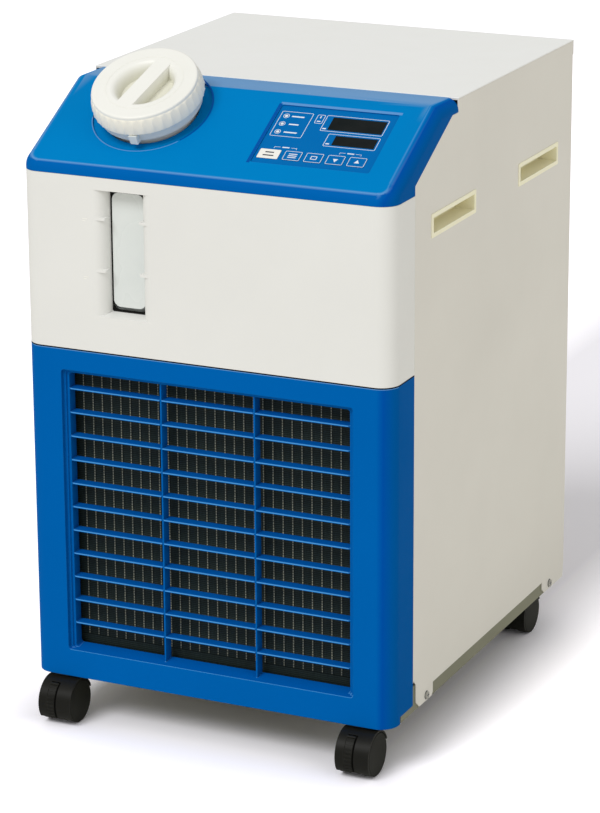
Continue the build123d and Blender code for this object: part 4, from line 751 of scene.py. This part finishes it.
# Keys: a plain sign on each, and an outline on all but the run key
keys = {
    "key_run": (49.9, 20.7), "key_menu": (73.3, 17.0), "key_select": (94.5, 17.0),
    "key_down": (115.7, 17.0), "key_up": (136.9, 17.0),
}
keyPrint = {
    "row": 43.7, "high": 12.4, "line": 0.5, "lift": 0.02, "inside": 0.3, "rounding": 1.2, "arrow": 2.9,
    "runStep": 2.1, "runShares": (0.42, 0.52), "runHigh": 1.5, "menuStep": 2.3, "menuShare": 0.5,
    "menuHigh": 1.0, "selectFrame": (6.2, 4.6, 0.8, 0.6),
}


def makeKeyPrint(key, x, wide):
    look = keyPrint
    place = slopePlace(casing["keyTop"] + look["lift"])
    row = look["row"]
    shape = bmesh.new()
    if key == "key_run":
        for side, share in zip((1, -1), look["runShares"]):
            printBar(shape, x, row + side * look["runStep"], wide * share, look["runHigh"], place)
        finishFlatPiece("print_" + key, shape, key, "darkPrintAndShade")
        return
    inside = look["inside"]
    printFrame(shape, x, row, wide - inside, look["high"] - inside, look["line"], look["rounding"], place)
    if key == "key_menu":
        for step in (-1, 0, 1):
            lineRow = row + step * look["menuStep"]
            printBar(shape, x, lineRow, wide * look["menuShare"], look["menuHigh"], place)
    elif key == "key_select":
        printFrame(shape, x, row, *look["selectFrame"], place)
    else:
        printDisc(shape, x, row, look["arrow"], place, corners=3, turn=0.0 if key == "key_up" else 180.0)
    finishFlatPiece("print_" + key, shape, key)


for keyName, (keyX, keyWide) in keys.items():
    makeKeyPrint(keyName, keyX, keyWide)
print("print placed")

# Seam between the two front mouldings: a dark band of painted shade in the gap, wrapping the corners, and a
# painted highlight on the edge under it
frontSeam = {
    "gap": (376.8, 378.1), "glint": (376.1, 376.8), "rise": 0.05, "corner": 18.0, "cornerSteps": 16,
    "wrap": 51.0, "glintReach": 16.0, "thick": 0.03,
}


def makeWrapBand(name, low, high, wrap, finish, slot):
    look = frontSeam
    shape = bmesh.new()
    span = 2 * (casing["halfWidth"] + look["rise"])
    front = casing["front"] - look["rise"]
    place = Matrix.Translation((0, 0, low * mm)) @ Matrix.Diagonal((mm, mm, mm, 1))
    floor = roundedFace(
        shape, 0, front + span / 2, span, span, look["corner"] + look["rise"], place, look["cornerSteps"],
    )
    grown = bmesh.ops.extrude_edge_only(shape, edges=list(floor.edges))
    tops = [part for part in grown["geom"] if isinstance(part, bmesh.types.BMVert)]
    bmesh.ops.translate(shape, verts=tops, vec=(0, 0, (high - low) * mm))
    bmesh.ops.delete(shape, geom=[floor], context="FACES_ONLY")
    bmesh.ops.bisect_plane(
        shape, geom=shape.verts[:] + shape.edges[:] + shape.faces[:],
        plane_co=(0, (front + wrap) * mm, 0), plane_no=(0, 1, 0), clear_outer=True,
    )
    finishFlatPiece(name, shape, "casing", finish, look["thick"])


makeWrapBand("seamPaintedShade", *frontSeam["gap"], frontSeam["wrap"], "seamShade", "seal_rubber")
makeWrapBand("seamPaintedHighlight", *frontSeam["glint"], frontSeam["glintReach"], "rimPaintedHighlight", "blue_plastic")

# Rounded noses of the grille's slats, one in each column, coloured with a painted highlight where they turn
# up
slatNose = {
    "first": 100.9, "pitch": 23.55, "count": 11, "fromFront": 6.0, "radius": 0.8,
    "columns": 3, "columnPitch": 96.4, "length": 94.0, "corners": 16,
}


def makeSlatNoses():
    look = slatNose
    shape = bmesh.new()
    for row in range(look["count"]):
        height = look["first"] + row * look["pitch"]
        for column in range(look["columns"]):
            x = (column - (look["columns"] - 1) / 2) * look["columnPitch"]
            spot = frontPlace(look["fromFront"]) @ Matrix.Translation((x, height, 0))
            bmesh.ops.create_cone(
                shape, cap_ends=True, segments=look["corners"], radius1=look["radius"],
                radius2=look["radius"], depth=look["length"],
                matrix=spot @ Matrix.Rotation(math.radians(90), 4, "Y"),
            )
    piece = placePiece("slatNoses", shape, "casing", "noseBlue")
    shadeSoftly(piece)


# Ends of the condenser's fins: they run up behind the opening, and a mesh covers their foot; both are flat
# plates in the fins' painted shade
finEnds = {"halfWidth": 147.5, "head": (339.5, 356.0, 22.7), "foot": (76.0, 84.8, 21.7), "thick": 0.1}


def makeFinEnd(name, low, high, fromFront):
    shape = bmesh.new()
    printBar(shape, 0, (low + high) / 2, 2 * finEnds["halfWidth"], high - low, frontPlace(fromFront))
    finishFlatPiece(name, shape, "casing", "finMetalShaded", finEnds["thick"])


makeSlatNoses()
makeFinEnd("finHead", *finEnds["head"])
makeFinEnd("finFoot", *finEnds["foot"])
print("front mouldings detailed")

# Level window: the sides roll in from the front face, and a black frame round the tank's bulge paints the
# shade in the gap there
levelWindow = {
    "middle": -82.7, "halfWidth": 18.4, "low": 415.0, "high": 531.0, "margin": 2.3,
    "rollWidth": 12.0, "rollDepth": 12.9, "rollSteps": 16, "flatShare": 0.06, "lap": 0.7, "skin": 0.03,
    "shadeFrameDepth": 15.4, "shadeFrameSize": (42.0, 120.0), "shadeFrameLine": 4.3, "shadeFrameRound": 9.0,
    "shadeFrameThick": 0.8,
    # mark: middle across, rows, size; a shorter stroke under it
    "markX": -120.4, "markRows": (505.0, 449.5), "markSize": (5.0, 0.9), "markLift": 0.1, "markHigh": 0.15,
    "strokeDrop": 1.9, "strokeShares": (0.6, 0.8),
}


def makeWindowRoll(side):
    look = levelWindow
    shape = bmesh.new()
    middle, span = (look["low"] + look["high"]) / 2, look["high"] - look["low"] + 2 * look["margin"]
    made = bmesh.ops.create_grid(shape, x_segments=look["rollSteps"], y_segments=1, size=0.5)
    edge = look["middle"] + side * (look["halfWidth"] + look["rollWidth"])
    place = frontPlace()
    for vert in made["verts"]:
        share = vert.co.x + 0.5
        turn = max(share * (1 + look["flatShare"]) - look["flatShare"], 0.0) * math.pi / 2
        reach = look["rollWidth"] * math.sin(turn) - (look["lap"] if share == 0 else 0.0)
        sink = look["rollDepth"] * (1 - math.cos(turn))
        vert.co = place @ Vector((edge - side * reach, middle + vert.co.y * span, look["skin"] - sink))
    name = "windowRollRight" if side > 0 else "windowRollLeft"
    piece = placePiece(name, shape, "casing", "whiteMoulding")
    shadeSoftly(piece)


def makeBulgeShadeFrame():
    look = levelWindow
    shape = bmesh.new()
    place = frontPlace(look["shadeFrameDepth"])
    middle = (look["low"] + look["high"]) / 2
    wide, high = look["shadeFrameSize"]
    printFrame(
        shape, look["middle"], middle, wide, high, look["shadeFrameLine"], look["shadeFrameRound"], place,
    )
    finishFlatPiece("bulgeShadeFrame", shape, "casing", "sealRubberAndShade", look["shadeFrameThick"])


# The raised level marks are drawn in a lighter white than the moulding, as a painted highlight
def makeLevelMarks():
    look = levelWindow
    shape = bmesh.new()
    place = frontPlace(-look["markLift"])
    wide, high = look["markSize"]
    wideShare, highShare = look["strokeShares"]
    strokeX = look["markX"] - wide * (1 - wideShare) / 2
    for row in look["markRows"]:
        printBar(shape, look["markX"], row, wide, high, place)
        printBar(shape, strokeX, row - look["strokeDrop"], wide * wideShare, high * highShare, place)
    finishFlatPiece("levelMarks", shape, "casing", "keyWhite", look["markHigh"])


makeWindowRoll(-1)
makeWindowRoll(1)
makeBulgeShadeFrame()
makeLevelMarks()
print("level window dressed")

# Filler cap: shallow flutes up its side, and a low ring round the finger pockets
cap = {
    "x": -87.0, "upSlope": 86.0, "flutes": 36, "stepsPerFlute": 10,
    # height above the slope, radius in a flute, extra radius on a ridge
    "profile": ((15.0, 51.5, 0.0), (15.3, 53.0, 0.5), (16.2, 53.1, 0.9), (25.5, 52.0, 0.9),
                (28.6, 51.5, 0.6), (30.2, 51.2, 0.15), (31.2, 50.2, 0.0)),
    "ringRadius": 37.6, "ringWide": 1.2, "ringTop": 33.8, "ringHigh": 0.25, "ringCorners": 96,
    "ringEdge": 0.1, "fluteSharpness": 0.8,
}


def makeCapFlutes():
    place = slopePlace() @ Matrix.Translation((cap["x"], cap["upSlope"], 0))
    shape = bmesh.new()
    corners = [shape.verts.new((radius, 0, height)) for height, radius, ridge in cap["profile"]]
    lines = [shape.edges.new(pair) for pair in zip(corners, corners[1:])]
    bmesh.ops.spin(
        shape, geom=corners + lines, cent=(0, 0, 0), axis=(0, 0, 1), angle=math.radians(360),
        steps=cap["flutes"] * cap["stepsPerFlute"], use_merge=True,
    )
    ridges = {round(height, 3): ridge for height, radius, ridge in cap["profile"]}
    for vert in shape.verts:
        turn = math.atan2(vert.co.y, vert.co.x) * cap["flutes"]
        swell = 1 - abs(math.sin(turn / 2)) ** cap["fluteSharpness"]
        reach = math.hypot(vert.co.x, vert.co.y)
        grown = 1 + ridges[round(vert.co.z, 3)] * swell / reach
        vert.co = place @ Vector((vert.co.x * grown, vert.co.y * grown, vert.co.z))
    piece = placePiece("capFlutes", shape, "cap", "capSkirt")
    shadeSoftly(piece)


def makeCapRing():
    shape = bmesh.new()
    place = slopePlace(cap["ringTop"])
    printRing(
        shape, cap["x"], cap["upSlope"], cap["ringRadius"], cap["ringWide"], place, cap["ringCorners"],
    )
    piece = finishFlatPiece("capRing", shape, "cap", "capPlastic", cap["ringHigh"])
    addModifier(piece, "soften", "BEVEL", width=cap["ringEdge"] * mm, segments=2, limit_method="ANGLE")


# The dish that the cap sits in: flat arcs paint a highlight on its lower edge and shade on its right side
capDish = {
    "rise": 0.03, "step": 3.0, "thick": 0.03,
    "pale": (57.6, 58.5, -163.0, -42.0), "shade": (57.0, 58.6, -40.0, 72.0),
}


def makeDishArc(name, inner, outer, start, end, finish):
    place = slopePlace(capDish["rise"]) @ Matrix.Translation((cap["x"], cap["upSlope"], 0))
    place = place @ Matrix.Rotation(math.radians(start), 4, "Z")
    shape = bmesh.new()
    ends = [shape.verts.new((radius, 0, 0)) for radius in (inner, outer)]
    line = shape.edges.new(ends)
    bmesh.ops.spin(
        shape, geom=ends + [line], cent=(0, 0, 0), axis=(0, 0, 1), angle=math.radians(end - start),
        steps=round((end - start) / capDish["step"]),
    )
    bmesh.ops.transform(shape, matrix=place, verts=shape.verts)
    finishFlatPiece(name, shape, "casing", finish, capDish["thick"])


makeCapFlutes()
makeCapRing()
makeDishArc("dishLit", *capDish["pale"], "rimPaintedHighlight")
makeDishArc("dishShade", *capDish["shade"], "rimShade")
print("cap dressed")

# Castors: ribs down the brake lever, a dark strip of painted shade in the slot beside it, and a plain cover
# on each wheel
castors = {
    "front_left": (-157.0, -224.0), "front_right": (157.0, -224.0),
    "rear_left": (-157.0, 175.0), "rear_right": (157.0, 175.0),
}
castorLook = {
    "axle": 21.0, "skin": 23.2,
    "ribFirst": -26.0, "ribPitch": 9.0, "ribs": 9, "ribSize": (7.0, 1.3, 0.7), "leverMiddle": -4.0,
    "slot": (0.4, 1.9), "slotEnds": (-34.0, 62.0), "slotStep": 4.0, "slotRise": 0.03,
    "coverRadius": 16.5, "coverPlace": 17.03, "coverCorners": 48, "thick": 0.02,
}


# A place on a castor's hood: local X right, Y up round the axle, Z outwards
def hoodPlace(x, y, angle, radius):
    turn = math.radians(angle)
    outward = Vector((0, -math.cos(turn), math.sin(turn)))
    place = Matrix((Vector((1, 0, 0)), Vector((0, math.sin(turn), math.cos(turn))), outward))
    place = place.transposed().to_4x4()
    place.translation = (Vector((x, y, castorLook["axle"])) + outward * radius) * mm
    return place @ Matrix.Diagonal((mm, mm, mm, 1))


def makeLeverRibs(spot, x, y):
    look = castorLook
    shape = bmesh.new()
    wide, high, proud = look["ribSize"]
    for rib in range(look["ribs"]):
        angle = look["ribFirst"] + rib * look["ribPitch"]
        place = hoodPlace(x + look["leverMiddle"], y, angle, look["skin"])
        bmesh.ops.create_cube(shape, size=1.0, matrix=place @ Matrix.Diagonal((wide, high, proud, 1)))
    placePiece("leverRibs_" + spot, shape, "brake_" + spot, "castorPlastic")


def makeLeverSlotShade(spot, x, y):
    look = castorLook
    shape = bmesh.new()
    start, end = look["slotEnds"]
    place = hoodPlace(x, y, start, look["skin"] + look["slotRise"])
    ends = [shape.verts.new(place @ Vector((side, 0, 0))) for side in look["slot"]]
    line = shape.edges.new(ends)
    bmesh.ops.spin(
        shape, geom=ends + [line], cent=Vector((x, y, look["axle"])) * mm, axis=(1, 0, 0),
        angle=math.radians(start - end), steps=round((end - start) / look["slotStep"]),
    )
    body = "castor_" + spot
    finishFlatPiece("leverSlotShade_" + spot, shape, body, "castorShade", look["thick"])


def makeWheelCover(spot, letter, x, y):
    look = castorLook
    side = -1 if letter == "a" else 1
    shape = bmesh.new()
    place = Matrix.Translation(Vector((x + side * look["coverPlace"], y, look["axle"])) * mm)
    bmesh.ops.create_circle(
        shape, cap_ends=True, segments=look["coverCorners"], radius=look["coverRadius"] * mm,
        matrix=place @ Matrix.Rotation(math.radians(90), 4, "Y"),
    )
    wheel = spot + "_" + letter
    finishFlatPiece("cover_" + wheel, shape, "wheel_" + wheel, "wheelTread", look["thick"])


for spotName, (castorX, castorY) in castors.items():
    for wheelLetter in ("a", "b"):
        makeWheelCover(spotName, wheelLetter, castorX, castorY)
    if spotName.startswith("front"):
        makeLeverRibs(spotName, castorX, castorY)
        makeLeverSlotShade(spotName, castorX, castorY)
print("castors detailed")

# Panel screws: a dark cross of painted shade for the recess in each head, and a dark line round it
screws = {
    "sideRows": ((-143.0, 52.6), (184.5, 53.0)), "panel": 188.53, "head": 190.32,
    "rearX": (-178.0, 178.0), "rearRows": (62.0, 330.0, 590.0), "rearPanel": 227.03, "rearHead": 228.82,
    "headRadius": 3.6, "line": 0.7, "cross": (3.8, 0.9), "thick": 0.01,
}


# A place on a face that looks along an axis: local X level, Y up, Z outwards
def facePlace(spot, outward):
    outward = Vector(outward)
    up = Vector((0, 0, 1))
    place = Matrix((up.cross(outward), up, outward)).transposed().to_4x4()
    place.translation = Vector(spot) * mm
    return place @ Matrix.Diagonal((mm, mm, mm, 1))


def makeScrewMarks():
    look = screws
    heads, rounds = bmesh.new(), bmesh.new()
    spots = []
    for side in (-1, 1):
        for y, z in look["sideRows"]:
            spots.append(((side * look["head"], y, z), (side * look["panel"], y, z), (side, 0, 0)))
    for x in look["rearX"]:
        for z in look["rearRows"]:
            spots.append(((x, look["rearHead"], z), (x, look["rearPanel"], z), (0, 1, 0)))
    wide, high = look["cross"]
    radius = look["headRadius"] + look["line"]
    for headSpot, panelSpot, outward in spots:
        place = facePlace(headSpot, outward)
        printBar(heads, 0, 0, wide, high, place)
        printBar(heads, 0, 0, high, wide, place)
        printRing(rounds, 0, 0, radius, look["line"], facePlace(panelSpot, outward))
    finishFlatPiece("screwCrossShade", heads, "casing", "darkPrintAndShade", look["thick"])
    finishFlatPiece("screwLines", rounds, "casing", "darkPrintAndShade", look["thick"])


makeScrewMarks()
print("screws marked")

# Studio: white floor that keeps the shadow, two soft suns and an even sky
studio = {
    "floorHalf": 60.0,
    "floorColour": paint(238, 236, 231),
    "floorTint": (1.0, 0.985, 1.045),
    "footprint": (0.19, 0.23),
    # Painted light on the floor: from under the unit's edge to clear of it, in metres, and how bright the
    # camera sees the floor there, darker near the unit and brighter clear of it
    "leftReach": (-0.06, 0.05, 0.93, 1.42),
    "rightReach": (-0.04, 0.12, 0.93, 2.30),
    "skyColour": paint(255, 254, 250),
    "skyLight": 0.56,
    "skyShine": 0.42,               # sky as shiny faces mirror it
    "keyDirection": (-0.22, -0.76, 0.82),
    "keyPower": 1.42,
    "keySoftness": 26.0,
    "fillDirection": (0.86, -0.30, 0.42),
    "fillPower": 0.30,
    "fillSoftness": 40.0,
}


def makeFloor():
    shape = bmesh.new()
    bmesh.ops.create_grid(shape, x_segments=1, y_segments=1, size=studio["floorHalf"])
    mesh = bpy.data.meshes.new("studioFloor")
    shape.to_mesh(mesh)
    shape.free()
    floor = bpy.data.objects.new("studioFloor", mesh)
    bpy.context.scene.collection.objects.link(floor)
    material = bpy.data.materials.new("studioFloor")
    material.use_nodes = True
    tree = material.node_tree
    tree.nodes.remove(tree.nodes["Principled BSDF"])
    path = addNode(tree, "ShaderNodeLightPath")
    where = addNode(tree, "ShaderNodeTexCoord").outputs["Object"]
    parts = addNode(tree, "ShaderNodeSeparateXYZ", Vector=where)
    halfWidth, halfDepth = studio["footprint"]
    beyondLeft = addMath(tree, "SUBTRACT", -halfWidth, parts.outputs["X"])
    beyondFront = addMath(tree, "SUBTRACT", -halfDepth, parts.outputs["Y"])
    beyondRight = addMath(tree, "SUBTRACT", parts.outputs["X"], halfWidth)
    # Painted light: the camera sees the floor brighter the further it lies beyond the unit's footprint,
    # most to the right, which lightens the unit's shadow there
    away = addMath(tree, "MAXIMUM", beyondLeft, beyondFront)
    seen = addMath(
        tree, "MAXIMUM",
        addRange(tree, away, *studio["leftReach"]), addRange(tree, beyondRight, *studio["rightReach"]),
    )
    bright = addNode(tree, "ShaderNodeVectorMath", {"operation": "SCALE"}, Scale=seen)
    bright.inputs[0].default_value = studio["floorTint"]
    colour = addMix(tree, path.outputs["Is Camera Ray"], studio["floorColour"], bright.outputs[0])
    matt = addNode(tree, "ShaderNodeBsdfDiffuse", Color=colour)
    tree.links.new(matt.outputs[0], tree.nodes["Material Output"].inputs["Surface"])
    mesh.materials.append(material)


def makeSky():
    world = bpy.data.worlds.new("studioSky")
    bpy.context.scene.world = world
    world.use_nodes = True
    tree = world.node_tree
    path = addNode(tree, "ShaderNodeLightPath")
    soft = tree.nodes["Background"]
    strength = addMath(tree, "ADD", studio["skyLight"], addMath(
        tree, "MULTIPLY", path.outputs["Is Glossy Ray"], studio["skyShine"] - studio["skyLight"],
    ))
    soft.inputs["Color"].default_value = studio["skyColour"]
    tree.links.new(strength, soft.inputs["Strength"])
    white = addNode(tree, "ShaderNodeBackground", Color=(1, 1, 1, 1), Strength=1.0)
    blend = tree.nodes.new("ShaderNodeMixShader")
    tree.links.new(path.outputs["Is Camera Ray"], blend.inputs[0])
    tree.links.new(soft.outputs[0], blend.inputs[1])
    tree.links.new(white.outputs[0], blend.inputs[2])
    tree.links.new(blend.outputs[0], tree.nodes["World Output"].inputs["Surface"])


def makeSun(name, direction, power, softness):
    lamp = bpy.data.lights.new(name, "SUN")
    lamp.energy = power
    lamp.angle = math.radians(softness)
    sun = bpy.data.objects.new(name, lamp)
    bpy.context.scene.collection.objects.link(sun)
    sun.rotation_mode = "QUATERNION"
    sun.rotation_quaternion = Vector(direction).to_track_quat("Z", "Y")


makeFloor()
makeSky()
makeSun("keySun", studio["keyDirection"], studio["keyPower"], studio["keySoftness"])
makeSun("fillSun", studio["fillDirection"], studio["fillPower"], studio["fillSoftness"])
print("studio set")

# Camera: above and to the right of the front, where the photographer stood
camera = {
    "place": (1.2777, -2.7539, 1.2309),
    "azimuth": 25.030,
    "elevation": 16.775,
    "roll": -0.334,
    "lens": 142.55,
    "sensor": 36.0,
    "shiftUp": -0.0505,
    "clip": (0.05, 200.0),
}


def makeCamera():
    azimuth = math.radians(camera["azimuth"])
    elevation = math.radians(camera["elevation"])
    roll = math.radians(camera["roll"])
    level = math.cos(elevation)
    back = Vector((math.sin(azimuth) * level, -math.cos(azimuth) * level, math.sin(elevation)))
    right = Vector((0, 0, 1)).cross(back).normalized()
    up = back.cross(right)
    rolledRight = right * math.cos(roll) + up * math.sin(roll)
    rolledUp = up * math.cos(roll) - right * math.sin(roll)
    lens = bpy.data.cameras.new("studioCamera")
    lens.lens = camera["lens"]
    lens.sensor_width = camera["sensor"]
    lens.shift_y = camera["shiftUp"]
    lens.clip_start, lens.clip_end = camera["clip"]
    eye = bpy.data.objects.new("studioCamera", lens)
    bpy.context.scene.collection.objects.link(eye)
    place = Matrix((rolledRight, rolledUp, back)).transposed().to_4x4()
    place.translation = Vector(camera["place"])
    eye.matrix_world = place
    bpy.context.scene.camera = eye


makeCamera()
bpy.context.scene.view_settings.view_transform = "Standard"
print("camera set")
